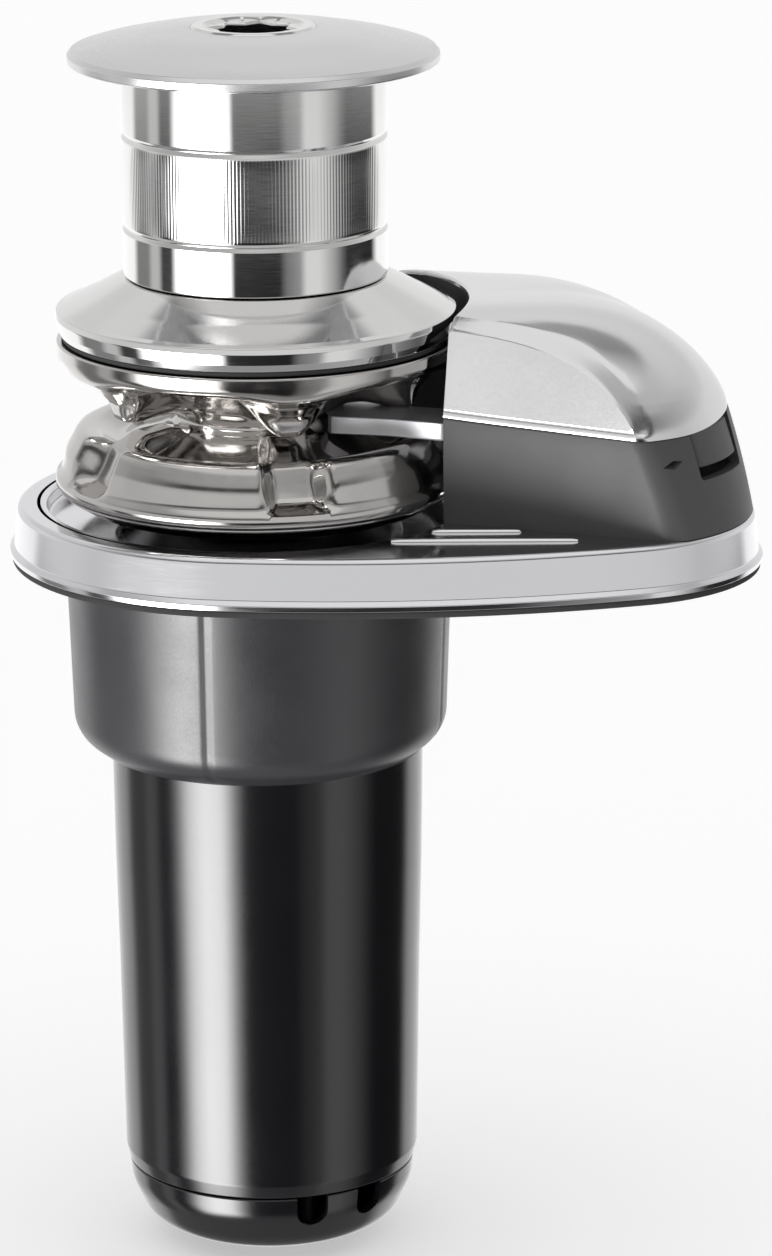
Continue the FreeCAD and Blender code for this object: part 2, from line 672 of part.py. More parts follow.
def end_bell():
    """Rear motor cover with a bearing seat and holes for the terminals and the tie rods."""
    bell = disc(MOTOR_R, -166.0, -158.0).cut(disc(11.0, -164.0, -150.0))
    for x, y in TERMINAL_PLACES:
        bell = bell.cut(disc(3.0, -170, -150, x, y))
    for x, y in TIE_ROD_PLACES:
        bell = bell.cut(disc(2.5, -170, -150, x, y))
    return bell


def brush_holder():
    """Insulating ring with four brush boxes."""
    holder = ring(MOTOR_R - 3.0, 17.0, -157.5, -144.0)
    for cutter in around(block((15, 31), (-3.2, 3.2), (-153.0, -144.5)), 4, 45.0):
        holder = holder.cut(cutter)
    return holder


def brushes():
    """Four carbon brushes."""
    return Part.makeCompound(around(block((14.2, 23.0), (-3.1, 3.1), (-152.9, -144.6)), 4, 45.0))


def brush_springs():
    """Four brush springs, each a plain sleeve."""
    spring = Part.makeCylinder(2.6, 7.9, V(23.05, 0, -148.75), V(1, 0, 0))
    spring = spring.cut(Part.makeCylinder(1.8, 10, V(22, 0, -148.75), V(1, 0, 0)))
    return Part.makeCompound(around(spring, 4, 45.0))


def motor_cover_tube():
    """Tapered cover over the motor, set slightly towards the nose to leave room for the cables."""
    wall = 2.4
    tube = turned([
        (TUBE_FOOT_R - wall, TUBE_BOTTOM), (TUBE_FOOT_R - 1.0, TUBE_BOTTOM),
        (TUBE_FOOT_R, TUBE_BOTTOM + 2.5),
        (TUBE_TOP_R, TUBE_TOP), (TUBE_TOP_R - wall, TUBE_TOP)])
    tube.translate(V(TUBE_OFFSET, 0, 0))
    return tube


def end_cap():
    """Rounded end cap with two cable notches in its upper edge and two tie rod holes."""
    radius = 41.8
    rounding = 12.0
    wall = 2.5
    arc = []
    inner = []
    for step in range(7):
        angle = math.radians(15 * step)
        arc.append((radius - 0.6 - rounding + rounding * math.cos(angle),
                    UNIT_BOTTOM + rounding - rounding * math.sin(angle)))
        inner.append((radius - 0.6 - rounding + (rounding - wall) * math.cos(angle),
                      UNIT_BOTTOM + rounding - (rounding - wall) * math.sin(angle)))
    cap = turned([(radius, CAP_SEAM)] + arc + [(0, UNIT_BOTTOM), (0, UNIT_BOTTOM + wall)] + inner[::-1]
                 + [(radius - wall, CAP_SEAM)])
    for angle in NOTCH_ANGLES:
        notch = block((30, 50), (-4.65, 4.65), (CAP_SEAM - 4.5, CAP_SEAM + 1))
        notch = notch.fuse(Part.makeCylinder(4.65, 20, V(30, 0, CAP_SEAM - 4.5), V(1, 0, 0)))
        cap = cap.cut(turned_by(notch, angle))
    cap.translate(V(TUBE_OFFSET, 0, 0))
    for x, y in TIE_ROD_PLACES:
        cap = cap.cut(disc(2.5, UNIT_BOTTOM - 1, UNIT_BOTTOM + 10, x, y))
    return cap


def tie_rods():
    """Two tie rods from the motor end bell through the end cap, with nuts inside and out."""
    rods = []
    for x, y in TIE_ROD_PLACES:
        rod = disc(2.5, UNIT_BOTTOM - 3.0, -158.0, x, y)
        corners = [polar(4.4, 60 * k) for k in range(6)]
        hexagon = [(x + ahead, y + aside) for ahead, aside in corners]
        rods.append(rod.fuse(prism(hexagon, UNIT_BOTTOM - 2.4, UNIT_BOTTOM)))
    return Part.makeCompound(rods)


def terminal_studs():
    """Two threaded terminals on the end bell."""
    return Part.makeCompound([disc(3.0, -176.0, -158.0, x, y).fuse(disc(5.0, -168.5, -166.0, x, y))
                              for x, y in TERMINAL_PLACES])


def build():
    """Write every node."""
    os.makedirs("parts", exist_ok=True)
    save("base_plate", base_plate())
    save("base_gasket", base_gasket())
    wall = hawse_wall()
    save("hawse_body", hawse_body(wall))
    save("cover_latch", cover_latch(wall))
    save("latch_pin", latch_pin())
    save("latch_spring", latch_spring())
    save("chain_stripper", chain_stripper())
    save("stripper_screws", Part.makeCompound([
        cap_screw(STRIPPER_SCREW_R, 3.0, x, y, 28.0, STRIPPER_Z[1], 3.0) for x, y in STRIPPER_SCREW_PLACES]))
    save("chain_cover", chain_cover())
    save("shaft_seal", shaft_seal())

    save("main_shaft", main_shaft())
    save("shaft_keys", shaft_keys())
    save("lower_clutch_cone", lower_clutch_cone())
    save("lower_cone_lining", cone_lining(LOWER_RECESS, LOWER_SLOPE, -1))
    save("clutch_cone_flange", clutch_cone_flange())
    save("upper_cone_lining", cone_lining(UPPER_RECESS, UPPER_SLOPE, 1))
    save("cone_seal", cone_seal())
    save("drum", drum())
    save("thrust_washer", ring(16.0, SHAFT_R + RUNNING_GAP, 117.0, 118.5).fuse(
        ring(16.0, THREAD_R + RUNNING_GAP, 119.0 + RUNNING_GAP, 119.5)).fuse(
        ring(16.0, SHAFT_R + RUNNING_GAP, 118.4, 119.1)))
    save("drum_cap", drum_cap())
    save("handle_socket", handle_socket())
    save("gypsy", gypsy())
    save("gypsy_bush", ring(BUSH_R, SHAFT_R + RUNNING_GAP, LOWER_RECESS, UPPER_RECESS))

    save("gearbox_housing", gearbox_housing())
    save("housing_seal", ring(BEARING_R + 4.5, BEARING_R + 2.1, 0.4, GASKET_TOP))
    save("housing_screws", Part.makeCompound([
        cap_screw(HOUSING_SCREW_R, 4.8, x, y, 9.5, -12.0, 4.0, upward=False)
        for x, y in HOUSING_SCREW_PLACES]))
    save("main_bearing_outer", bearing_race(BEARING_R, 19.6))
    save("main_bearing_inner", bearing_race(14.9, SHAFT_R))
    save("bearing_balls", bearing_balls())
    save("output_ring_gear", ring_gear(OUTPUT_MODULE, (-31.0, -18.0), HOUSING_BORE_R))
    save("input_ring_gear", ring_gear(INPUT_MODULE, (-46.0, -31.5), HOUSING_BORE_R))

    output_pins = OUTPUT_MODULE * (SUN_TEETH + PLANET_TEETH) / 2
    input_pins = INPUT_MODULE * (SUN_TEETH + PLANET_TEETH) / 2
    save("output_carrier", carrier(30.5, (-18.0, -12.6), output_pins, 4.0, SHAFT_R))
    save("output_planet_pins", planet_pins((-29.0, -12.6), output_pins, 4.0))
    save_planets("output", OUTPUT_MODULE, OUTPUT_GEAR_Z, 4.0)
    save("output_sun", spur_gear(OUTPUT_MODULE, SUN_TEETH, (-29.6, -18.5), 3.0))
    save("input_carrier", carrier(28.0, (-33.0, -29.6), input_pins, 3.5, 0.0))
    save("input_planet_pins", planet_pins((-44.0, -29.6), input_pins, 3.5))
    save_planets("input", INPUT_MODULE, INPUT_GEAR_Z, 3.5)
    save("input_sun", spur_gear(INPUT_MODULE, SUN_TEETH, (-44.0, -33.6), 3.0))

    save("motor_adapter", motor_adapter())
    save("adapter_screws", Part.makeCompound([
        cap_screw(2.5, 4.2, x, y, -46.5, TUBE_TOP - 9, 3.5, upward=False) for x, y in ADAPTER_SCREW_PLACES]))
    save("motor_case", motor_case())
    save("motor_magnets", magnets())
    rotor_shaft = disc(ROTOR_SHAFT_R, -163.0, -46.0).fuse(disc(3.0, -47.0, -33.6))
    save("rotor_shaft", rotor_shaft)
    save("rotor_core", rotor_core())
    save("rotor_windings", rotor_windings())
    save("commutator", commutator())
    save("rotor_bearings", Part.makeCompound([
        ring(11.0, ROTOR_SHAFT_R + RUNNING_GAP, low, low + 6.0) for low in (-164.0, TUBE_TOP - 7)]))
    save("end_bell", end_bell())
    save("brush_holder", brush_holder())
    save("brushes", brushes())
    save("brush_springs", brush_springs())
    save("terminal_studs", terminal_studs())
    save("motor_cover_tube", motor_cover_tube())
    save("end_cap", end_cap())
    save("tie_rods", tie_rods())


build()
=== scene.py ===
"""Looks of a vertical anchor windlass: polished deck gear above a gearmotor that hangs below the deck."""

import logging
import math
from dataclasses import dataclass
from enum import Enum
from typing import Sequence

import bmesh
import bpy
import numpy as np
from mathutils import Matrix, Vector


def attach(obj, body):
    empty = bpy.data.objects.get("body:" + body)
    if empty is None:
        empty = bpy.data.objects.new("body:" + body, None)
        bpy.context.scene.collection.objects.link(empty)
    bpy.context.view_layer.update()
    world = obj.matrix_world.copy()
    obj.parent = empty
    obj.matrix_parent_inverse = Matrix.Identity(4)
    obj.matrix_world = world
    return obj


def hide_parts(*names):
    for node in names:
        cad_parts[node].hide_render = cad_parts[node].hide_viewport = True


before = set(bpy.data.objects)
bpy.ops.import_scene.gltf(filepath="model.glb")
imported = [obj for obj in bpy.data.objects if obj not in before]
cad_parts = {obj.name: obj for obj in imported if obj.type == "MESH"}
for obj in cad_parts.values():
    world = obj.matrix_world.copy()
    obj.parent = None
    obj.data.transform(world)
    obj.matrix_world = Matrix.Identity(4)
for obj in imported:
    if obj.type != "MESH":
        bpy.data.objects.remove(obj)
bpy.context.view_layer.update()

Array = np.ndarray
Corner = tuple[float, float, float]
MM = 0.001
log = logging.getLogger("windlass")


# ---------------------------------------------------------------- shapes

def smooth(value: Array, low: float, high: float) -> Array:
    """Smooth step: 0 at low, 1 at high, with the cubic 3t² − 2t³ between them.

    Args:
        value: Where it is read.
        low: Start of the step.
        high: End of the step. It may be below low.

    Returns:
        The step's height, same shape as value.
    """
    share = np.clip((value - low) / (high - low), 0.0, 1.0)
    return share * share * (3.0 - 2.0 * share)


def rounded(corners: Sequence[Corner], closed: bool = True, step: float = 12.0) -> Array:
    """Straight lines through corners, each corner replaced by an arc tangent to both lines.

    The arc's centre lies on the bisector at radius / sin(half the corner's angle).

    Args:
        corners: First coordinate, second coordinate and radius of each corner.
        closed: Whether the last corner joins the first.
        step: Largest turn between two points of an arc, in degrees.

    Returns:
        The points of the path, one row each.
    """
    points: list[Array] = []
    count = len(corners)
    for index, (first, second, radius) in enumerate(corners):
        here = np.array([first, second])
        back = np.array(corners[index - 1][:2]) - here
        ahead = np.array(corners[(index + 1) % count][:2]) - here
        back, ahead = back / np.linalg.norm(back), ahead / np.linalg.norm(ahead)
        straight = np.linalg.norm(back + ahead) < 1e-6
        if radius <= 0 or straight or (not closed and index in (0, count - 1)):
            points.append(here[None])
            continue
        half = math.acos(np.clip(back @ ahead, -1, 1)) / 2
        bisector = (back + ahead) / np.linalg.norm(back + ahead)
        centre = here + bisector * radius / math.sin(half)
        start, end = here + back * radius / math.tan(half), here + ahead * radius / math.tan(half)
        from_angle = math.atan2(*(start - centre)[::-1])
        turn = (math.atan2(*(end - centre)[::-1]) - from_angle + math.pi) % (2 * math.pi) - math.pi
        steps = max(2, math.ceil(abs(math.degrees(turn)) / step))
        angles = from_angle + turn * np.linspace(0, 1, steps + 1)
        points.append(centre + radius * np.column_stack((np.cos(angles), np.sin(angles))))
    return np.concatenate(points)


def spread(path: Array, count: int) -> Array:
    """The same open path with a set number of points, evenly spaced along its length.

    Args:
        path: Points, one row each.
        count: How many points to return.

    Returns:
        The new points.
    """
    along = np.concatenate(([0.0], np.cumsum(np.linalg.norm(np.diff(path, axis=0), axis=1))))
    wanted = np.linspace(0, along[-1], count)
    return np.column_stack([np.interp(wanted, along, path[:, axis]) for axis in range(path.shape[1])])


def about(radius: Array, angle: Array, height: Array,
          centre: tuple[float | Array, float] = (0.0, 0.0)) -> Array:
    """Points at a radius, an angle and a height about a vertical line through centre."""
    return np.stack((centre[0] + radius * np.cos(angle), centre[1] + radius * np.sin(angle),
                     height + 0 * angle), axis=-1)


def full_turn(count: int) -> Array:
    """Angles evenly spaced all the way round."""
    return np.linspace(0, 2 * np.pi, count, endpoint=False)


def raised(plan: Array, height: Array | float) -> Array:
    """Plan points with their heights added as a third coordinate."""
    return np.concatenate((plan, np.broadcast_to(height, plan.shape[:-1])[..., None]), axis=-1)


def turned(path: Array, count: int, centre: tuple[float, float] = (0.0, 0.0)) -> Array:
    """Surface of revolution: each (radius, height) point becomes a circle about a vertical line.

    Args:
        path: Radius and height of each point.
        count: Points round each circle.
        centre: Plan place of the axis.

    Returns:
        A grid of points, one row for each point of the path.
    """
    return about(path[:, :1], full_turn(count), path[:, 1:2], centre)


class Solid:
    """A mesh put together from grids of points, in millimetres."""

    def __init__(self, name: str) -> None:
        """Starts an empty mesh of that name."""
        self.name = name
        self.points: list[Array] = []
        self.faces: list[Array] = []
        self.count = 0

    def grid(self, points: Array, round_rows: bool = True, round_columns: bool = True) -> "Solid":
        """Adds a grid of quads.

        Args:
            points: Rows by columns by three coordinates.
            round_rows: Whether the last row joins the first.
            round_columns: Whether the last column joins the first.

        Returns:
            The same solid.
        """
        rows, columns = points.shape[:2]
        number = np.arange(rows * columns).reshape(rows, columns) + self.count
        if round_rows:
            number = np.concatenate((number, number[:1]))
        if round_columns:
            number = np.concatenate((number, number[:, :1]), axis=1)
        quads = np.stack((number[:-1, :-1], number[:-1, 1:], number[1:, 1:], number[1:, :-1]), axis=-1)
        self.points.append(points.reshape(-1, 3))
        self.faces.append(quads.reshape(-1, 4))
        self.count += rows * columns
        return self

    def build(self, sharp: float = 40.0, weighted: bool = True) -> bpy.types.Object:
        """Makes the object: doubles merged, holes closed, faces outward, edges past an angle kept sharp.

        Args:
            sharp: Angle in degrees.
            weighted: Whether large faces lead the shading at their edges.

        Returns:
            The new object, at the origin.
        """
        mesh = bpy.data.meshes.new(self.name)
        quads = np.concatenate(self.faces)
        mesh.from_pydata((np.concatenate(self.points) * MM).tolist(), [], quads.tolist())
        tidy = bmesh.new()
        tidy.from_mesh(mesh)
        bmesh.ops.remove_doubles(tidy, verts=tidy.verts, dist=0.00001)
        bmesh.ops.dissolve_degenerate(tidy, edges=tidy.edges, dist=0.000002)
        bmesh.ops.holes_fill(tidy, edges=[edge for edge in tidy.edges if edge.is_boundary], sides=0)
        bmesh.ops.recalc_face_normals(tidy, faces=tidy.faces)
        tidy.to_mesh(mesh)
        tidy.free()
        shape = bpy.data.objects.new(self.name, mesh)
        bpy.context.scene.collection.objects.link(shape)
        shade(shape, sharp)
        if weighted:
            shape.modifiers.new("even shading", "WEIGHTED_NORMAL").keep_sharp = True
        return shape


def lathe(name: str, path: Array, count: int, centre: tuple[float, float] = (0.0, 0.0),
          sharp: float = 40.0) -> bpy.types.Object:
    """Closed solid turned from a section about a vertical line."""
    return Solid(name).grid(turned(path, count, centre)).build(sharp=sharp)


def shade(shape: bpy.types.Object, sharp: float) -> None:
    """Smooth shading with edges past an angle, in degrees, kept sharp."""
    mesh = shape.data
    mesh.polygons.foreach_set("use_smooth", np.ones(len(mesh.polygons), bool))
    mesh.set_sharp_from_angle(angle=math.radians(sharp))


def cut(shape: bpy.types.Object, cutter: bpy.types.Object, sharp: float = 40.0) -> None:
    """Takes a cutter's volume out of a shape and removes the cutter.

    Args:
        shape: The piece that is cut.
        cutter: A closed mesh.
        sharp: Angle in degrees past which an edge is kept sharp.
    """
    shape.modifiers.clear()
    removal = shape.modifiers.new("cut", "BOOLEAN")
    removal.operation, removal.solver, removal.object = "DIFFERENCE", "EXACT", cutter
    bpy.context.view_layer.update()
    ready = shape.evaluated_get(bpy.context.evaluated_depsgraph_get())
    mesh = bpy.data.meshes.new_from_object(ready)
    shape.modifiers.clear()
    shape.data = mesh
    bpy.data.objects.remove(cutter)
    shade(shape, sharp)
    shape.modifiers.new("even shading", "WEIGHTED_NORMAL").keep_sharp = True


def slab(path: Array, levels: Sequence[tuple[float, float]]) -> Array:
    """A closed plan outline repeated at levels and moved inward along its own normals.

    Args:
        path: Plan points of the outline, counter-clockwise.
        levels: Inset and height of each row.

    Returns:
        A grid of points, open at its first and last row.
    """
    along = np.roll(path, -1, axis=0) - np.roll(path, 1, axis=0)
    inward = np.column_stack((-along[:, 1], along[:, 0])) / np.linalg.norm(along, axis=1)[:, None]
    return np.stack([raised(path + inset * inward, height) for inset, height in levels])


def slot_cutter(name: str, middle: Array, outward: Array, up: float, half_width: float, depth: float,
                corner: float) -> bpy.types.Object:
    """A round-cornered bar along a level direction, for cutting a window.

    Args:
        name: Name of the cutter.
        middle: Centre of the bar.
        outward: Level unit vector along the bar.
        up: Half its height.
        half_width: Half its width.
        depth: Half its length.
        corner: Radius of its corners.

    Returns:
        The cutter.
    """
    section = rounded([(-half_width, -up, corner), (half_width, -up, corner),
                       (half_width, up, corner), (-half_width, up, corner)])
    sideways = np.array([-outward[1], outward[0], 0.0])
    flat = section[:, :1] * sideways + section[:, 1:] * np.array([0.0, 0.0, 1.0])
    rows = np.stack([middle + flat + reach * outward for reach in (-depth, depth)])
    return Solid(name).grid(rows, round_rows=False).build(weighted=False)


# ---------------------------------------------------------------- finishes

class Grain(Enum):
    """How the fine marks of a finish run."""

    EVEN = "even"
    TURNED = "turned"
    LEVEL = "level"


@dataclass(frozen=True)
class Finish:
    """One surface finish: colour, gloss and the fine marks that carry them.

    Sizes are in marks per metre of object space; depth is in millimetres.
    """

    name: str
    colour: tuple[float, float, float]
    metal: float
    roughness: float
    spread: float = 0.05
    tint: float = 0.1
    grain: Grain = Grain.EVEN
    marks: float = 900.0
    depth: float = 0.01
    clouds: float = 30.0
    turning: float = 0.0
    reflectance: float = 1.5

    def pattern(self, tree: bpy.types.NodeTree) -> bpy.types.NodeSocket:
        """Coordinates in which the marks are round blobs.

        Turned marks use (cos, sin) of the angle about the shaft and radius + 1.3 × height, so that they run
        round the shaft on flats, cones and cylinders alike. Level marks are stretched along x and y.

        Args:
            tree: The material's nodes.

        Returns:
            The socket of the coordinates.
        """
        place = tree.nodes.new("ShaderNodeTexCoord").outputs["Object"]
        if self.grain is Grain.EVEN:
            return vector_math(tree, "SCALE", place, scale=self.marks)
        if self.grain is Grain.LEVEL:
            return vector_math(tree, "MULTIPLY", place, (self.marks * 0.03, self.marks * 0.03, self.marks))
        flat = vector_math(tree, "MULTIPLY", place, (1.0, 1.0, 0.0))
        around = vector_math(tree, "SCALE", vector_math(tree, "NORMALIZE", flat), scale=6.0)
        radius = tree.nodes.new("ShaderNodeVectorMath")
        radius.operation = "LENGTH"
        tree.links.new(flat, radius.inputs[0])
        split = tree.nodes.new("ShaderNodeSeparateXYZ")
        tree.links.new(place, split.inputs[0])
        mixed = math_node(tree, "MULTIPLY_ADD", split.outputs["Z"], 1.3, radius.outputs["Value"])
        height = math_node(tree, "MULTIPLY", mixed, self.marks)
        joined = tree.nodes.new("ShaderNodeCombineXYZ")
        tree.links.new(height, joined.inputs["Z"])
        return vector_math(tree, "ADD", around, joined.outputs[0])

    def material(self) -> bpy.types.Material:
        """The node material of this finish, made once.

        Returns:
            The material.
        """
        found = bpy.data.materials.get(self.name)
        if found is not None:
            return found
        made = bpy.data.materials.new(self.name)
        made.use_nodes = True
        tree = made.node_tree
        surface = tree.nodes["Principled BSDF"]
        fine = noise(tree, self.pattern(tree), 1.0, 3.0)
        place = tree.nodes.new("ShaderNodeTexCoord").outputs["Object"]
        broad = noise(tree, place, self.clouds, 4.0)
        blend = math_node(tree, "MULTIPLY_ADD", fine, 0.45, math_node(tree, "MULTIPLY", broad, 0.55))
        low, high = self.roughness - self.spread, self.roughness + self.spread
        tree.links.new(ranged(tree, blend, 0.3, 0.7, max(low, 0.02), high), surface.inputs["Roughness"])
        dark = tuple(part * (1 - self.tint) for part in self.colour) + (1.0,)
        light = tuple(min(part * (1 + self.tint), 1.0) for part in self.colour) + (1.0,)
        mix = tree.nodes.new("ShaderNodeMix")
        mix.data_type = "RGBA"
        mix.inputs["A"].default_value, mix.inputs["B"].default_value = dark, light
        tree.links.new(blend, mix.inputs["Factor"])
        tree.links.new(mix.outputs["Result"], surface.inputs["Base Color"])
        bump = tree.nodes.new("ShaderNodeBump")
        bump.inputs["Distance"].default_value = self.depth * MM
        bump.inputs["Strength"].default_value = 1.0
        tree.links.new(fine, bump.inputs["Height"])
        tree.links.new(bump.outputs["Normal"], surface.inputs["Normal"])
        surface.inputs["Metallic"].default_value = self.metal
        surface.inputs["IOR"].default_value = self.reflectance
        if self.turning:
            surface.inputs["Anisotropic"].default_value = self.turning
            tangent = tree.nodes.new("ShaderNodeTangent")
            tangent.direction_type, tangent.axis = "RADIAL", "Z"
            tree.links.new(tangent.outputs[0], surface.inputs["Tangent"])
        return made

    def dress(self, shape: bpy.types.Object) -> None:
        """Gives a piece this finish in all its material slots."""
        shape.data.materials.clear()
        shape.data.materials.append(self.material())


def vector_math(tree: bpy.types.NodeTree, operation: str, first: bpy.types.NodeSocket,
                second: object = None, scale: float = 1.0) -> bpy.types.NodeSocket:
    """One vector operation.

    Args:
        tree: The material's nodes.
        operation: Blender's name of the operation.
        first: The vector it works on.
        second: A socket or three numbers, if the operation takes them.
        scale: The factor of a scale operation.

    Returns:
        The resulting vector's socket.
    """
    node = tree.nodes.new("ShaderNodeVectorMath")
    node.operation = operation
    tree.links.new(first, node.inputs[0])
    if isinstance(second, bpy.types.NodeSocket):
        tree.links.new(second, node.inputs[1])
    elif second is not None:
        node.inputs[1].default_value = second
    if operation == "SCALE":
        node.inputs["Scale"].default_value = scale
    return node.outputs["Vector"]


def math_node(tree: bpy.types.NodeTree, operation: str, *values: object) -> bpy.types.NodeSocket:
    """One operation on numbers.

    Args:
        tree: The material's nodes.
        operation: Blender's name of the operation.
        values: Sockets or numbers, in the order of the node's inputs.

    Returns:
        The result's socket.
    """
    node = tree.nodes.new("ShaderNodeMath")
    node.operation = operation
    for value, socket in zip(values, node.inputs):
        if isinstance(value, bpy.types.NodeSocket):
            tree.links.new(value, socket)
        else:
            socket.default_value = value
    return node.outputs[0]


def noise(tree: bpy.types.NodeTree, place: bpy.types.NodeSocket, scale: float,
          detail: float) -> bpy.types.NodeSocket:
    """Fractal noise between 0 and 1.

    Args:
        tree: The material's nodes.
        place: Coordinates it is read at.
        scale: Blobs per unit of the coordinates.
        detail: Number of finer layers.

    Returns:
        The socket of its value.
    """
    node = tree.nodes.new("ShaderNodeTexNoise")
    node.inputs["Scale"].default_value = scale
    node.inputs["Detail"].default_value = detail
    tree.links.new(place, node.inputs["Vector"])
    return node.outputs["Fac"]


def ranged(tree: bpy.types.NodeTree, value: bpy.types.NodeSocket, low: float, high: float,
           bottom: float, top: float) -> bpy.types.NodeSocket:
    """A value carried from one range to another, with a smooth step at the ends.

    Args:
        tree: The material's nodes.
        value: The number.
        low: Where the first range starts.
        high: Where the first range ends.
        bottom: Result at low.
        top: Result at high.

    Returns:
        The socket of the result.
    """
    node = tree.nodes.new("ShaderNodeMapRange")
    node.interpolation_type = "SMOOTHSTEP"
    for socket, number in zip(("From Min", "From Max", "To Min", "To Max"), (low, high, bottom, top)):
        node.inputs[socket].default_value = number
    tree.links.new(value, node.inputs["Value"])
    return node.outputs["Result"]


STEEL = (0.74, 0.735, 0.73)
POLISHED = Finish("polished_stainless", STEEL, 1.0, 0.07, 0.03, 0.04, Grain.TURNED, 2200.0, 0.0006, 22.0)
POLISHED_CAST = Finish("polished_cast_stainless", (0.53, 0.515, 0.50), 1.0, 0.12, 0.05, 0.15, Grain.EVEN,
                       260.0, 0.012, 40.0)
BRUSHED = Finish("brushed_stainless", (0.70, 0.70, 0.71), 1.0, 0.24, 0.05, 0.05, Grain.TURNED, 3200.0, 0.0015,
                 25.0, turning=0.5)
DRUM_STEEL = Finish("turned_stainless", STEEL, 1.0, 0.08, 0.03, 0.05, Grain.TURNED, 3000.0, 0.0012, 30.0)
RIM_STEEL = Finish("satin_rim_stainless", (0.72, 0.72, 0.74), 1.0, 0.13, 0.04, 0.04, Grain.LEVEL,
                   2500.0, 0.0008, 20.0)
COVER_STEEL = Finish("cover_stainless", (0.73, 0.73, 0.735), 1.0, 0.16, 0.04, 0.04, Grain.EVEN, 1800.0,
                     0.0004, 14.0)
BRIGHT = Finish("bright_steel", (0.66, 0.66, 0.67), 1.0, 0.22, 0.06, 0.08, Grain.EVEN, 1400.0, 0.002, 60.0)
GEAR = Finish("ground_gear_steel", (0.42, 0.42, 0.43), 1.0, 0.34, 0.08, 0.12, Grain.TURNED, 2600.0,
              0.003, 80.0)
MOULDING = Finish("grained_black_moulding", (0.052, 0.051, 0.051), 0.0, 0.48, 0.06, 0.12, Grain.EVEN,
                  2600.0, 0.016, 35.0)
# Near-black finish of the strip under the cover's cut-out: painted shade for the dark gap there.
SHADE_BLACK = Finish("black_painted_shade", (0.008, 0.008, 0.009), 0.0, 0.55, 0.06, 0.15, Grain.EVEN, 1500.0, 0.01, 30.0)
RUBBER = Finish("rubber", (0.006, 0.006, 0.0065), 0.0, 0.66, 0.07, 0.2, Grain.EVEN, 1800.0, 0.02, 50.0)
HOUSING = Finish("grey_cast_paint", (0.018, 0.018, 0.021), 0.0, 0.35, 0.05, 0.10, Grain.EVEN, 1700.0, 0.012,
                 45.0, reflectance=1.68)
TUBE = Finish("black_satin_coat", (0.004, 0.004, 0.005), 0.0, 0.17, 0.03, 0.10, Grain.EVEN, 1500.0, 0.0008,
              25.0, reflectance=1.66)
CAST = Finish("cast_aluminium", (0.50, 0.50, 0.51), 1.0, 0.42, 0.08, 0.12, Grain.EVEN, 900.0, 0.03, 50.0)
MOTOR = Finish("painted_motor_steel", (0.05, 0.05, 0.055), 0.2, 0.40, 0.06, 0.12, Grain.EVEN, 1200.0,
               0.01, 40.0)
FERRITE = Finish("ferrite", (0.035, 0.034, 0.036), 0.0, 0.62, 0.08, 0.2, Grain.EVEN, 1300.0, 0.02, 60.0)
CARBON = Finish("brush_carbon", (0.02, 0.02, 0.02), 0.1, 0.5, 0.08, 0.2, Grain.EVEN, 1600.0, 0.015, 60.0)
COPPER = Finish("enamelled_copper", (0.62, 0.27, 0.14), 1.0, 0.3, 0.08, 0.15, Grain.TURNED, 1500.0,
                0.02, 60.0)
BRONZE = Finish("bearing_bronze", (0.50, 0.34, 0.16), 1.0, 0.32, 0.07, 0.12, Grain.TURNED, 1800.0,
                0.004, 60.0)
LINING = Finish("friction_lining", (0.09, 0.065, 0.045), 0.0, 0.8, 0.08, 0.25, Grain.EVEN, 1100.0, 0.03, 90.0)

NODE_FINISHES: dict[Finish, tuple[str, ...]] = {
    BRIGHT: ("latch_pin", "latch_spring", "stripper_screws", "shaft_keys", "housing_screws", "adapter_screws",
             "tie_rods", "bearing_balls", "brush_springs", "output_planet_pins", "input_planet_pins"),
    GEAR: ("main_shaft", "main_bearing_outer", "main_bearing_inner", "output_ring_gear", "input_ring_gear",
           "output_sun", "input_sun", "output_carrier", "input_carrier", "rotor_shaft", "rotor_bearings",
           "lower_clutch_cone", "rotor_core") + tuple(
               f"{stage}_planet_{number}" for stage in ("output", "input") for number in (1, 2, 3)),
    RUBBER: ("shaft_seal", "housing_seal"),
    CAST: ("motor_adapter", "end_bell"),
    MOTOR: ("motor_case",),
    FERRITE: ("motor_magnets",),
    CARBON: ("brushes",),
    COPPER: ("rotor_windings", "commutator", "terminal_studs"),
    BRONZE: ("gypsy_bush", "thrust_washer"),
    LINING: ("lower_cone_lining", "upper_cone_lining"),
    MOULDING: ("brush_holder",),
}


def place(shape: bpy.types.Object, body: str, slot: str, finish: Finish, *nodes: str) -> bpy.types.Object:
    """Dresses a new piece and hands it to its body.

    Args:
        shape: The new piece.
        body: CAD body it rides on.
        slot: Material slot of the record. Not used.
        finish: Its finish.
        nodes: CAD nodes it stands for.

    Returns:
        The piece.
    """
    finish.dress(shape)
    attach(shape, body)
    if nodes:
        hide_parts(*nodes)
    log.info("%s: %d faces on %s", shape.name, len(shape.data.polygons), body)
    return shape


# ---------------------------------------------------------------- plan of the deck gear

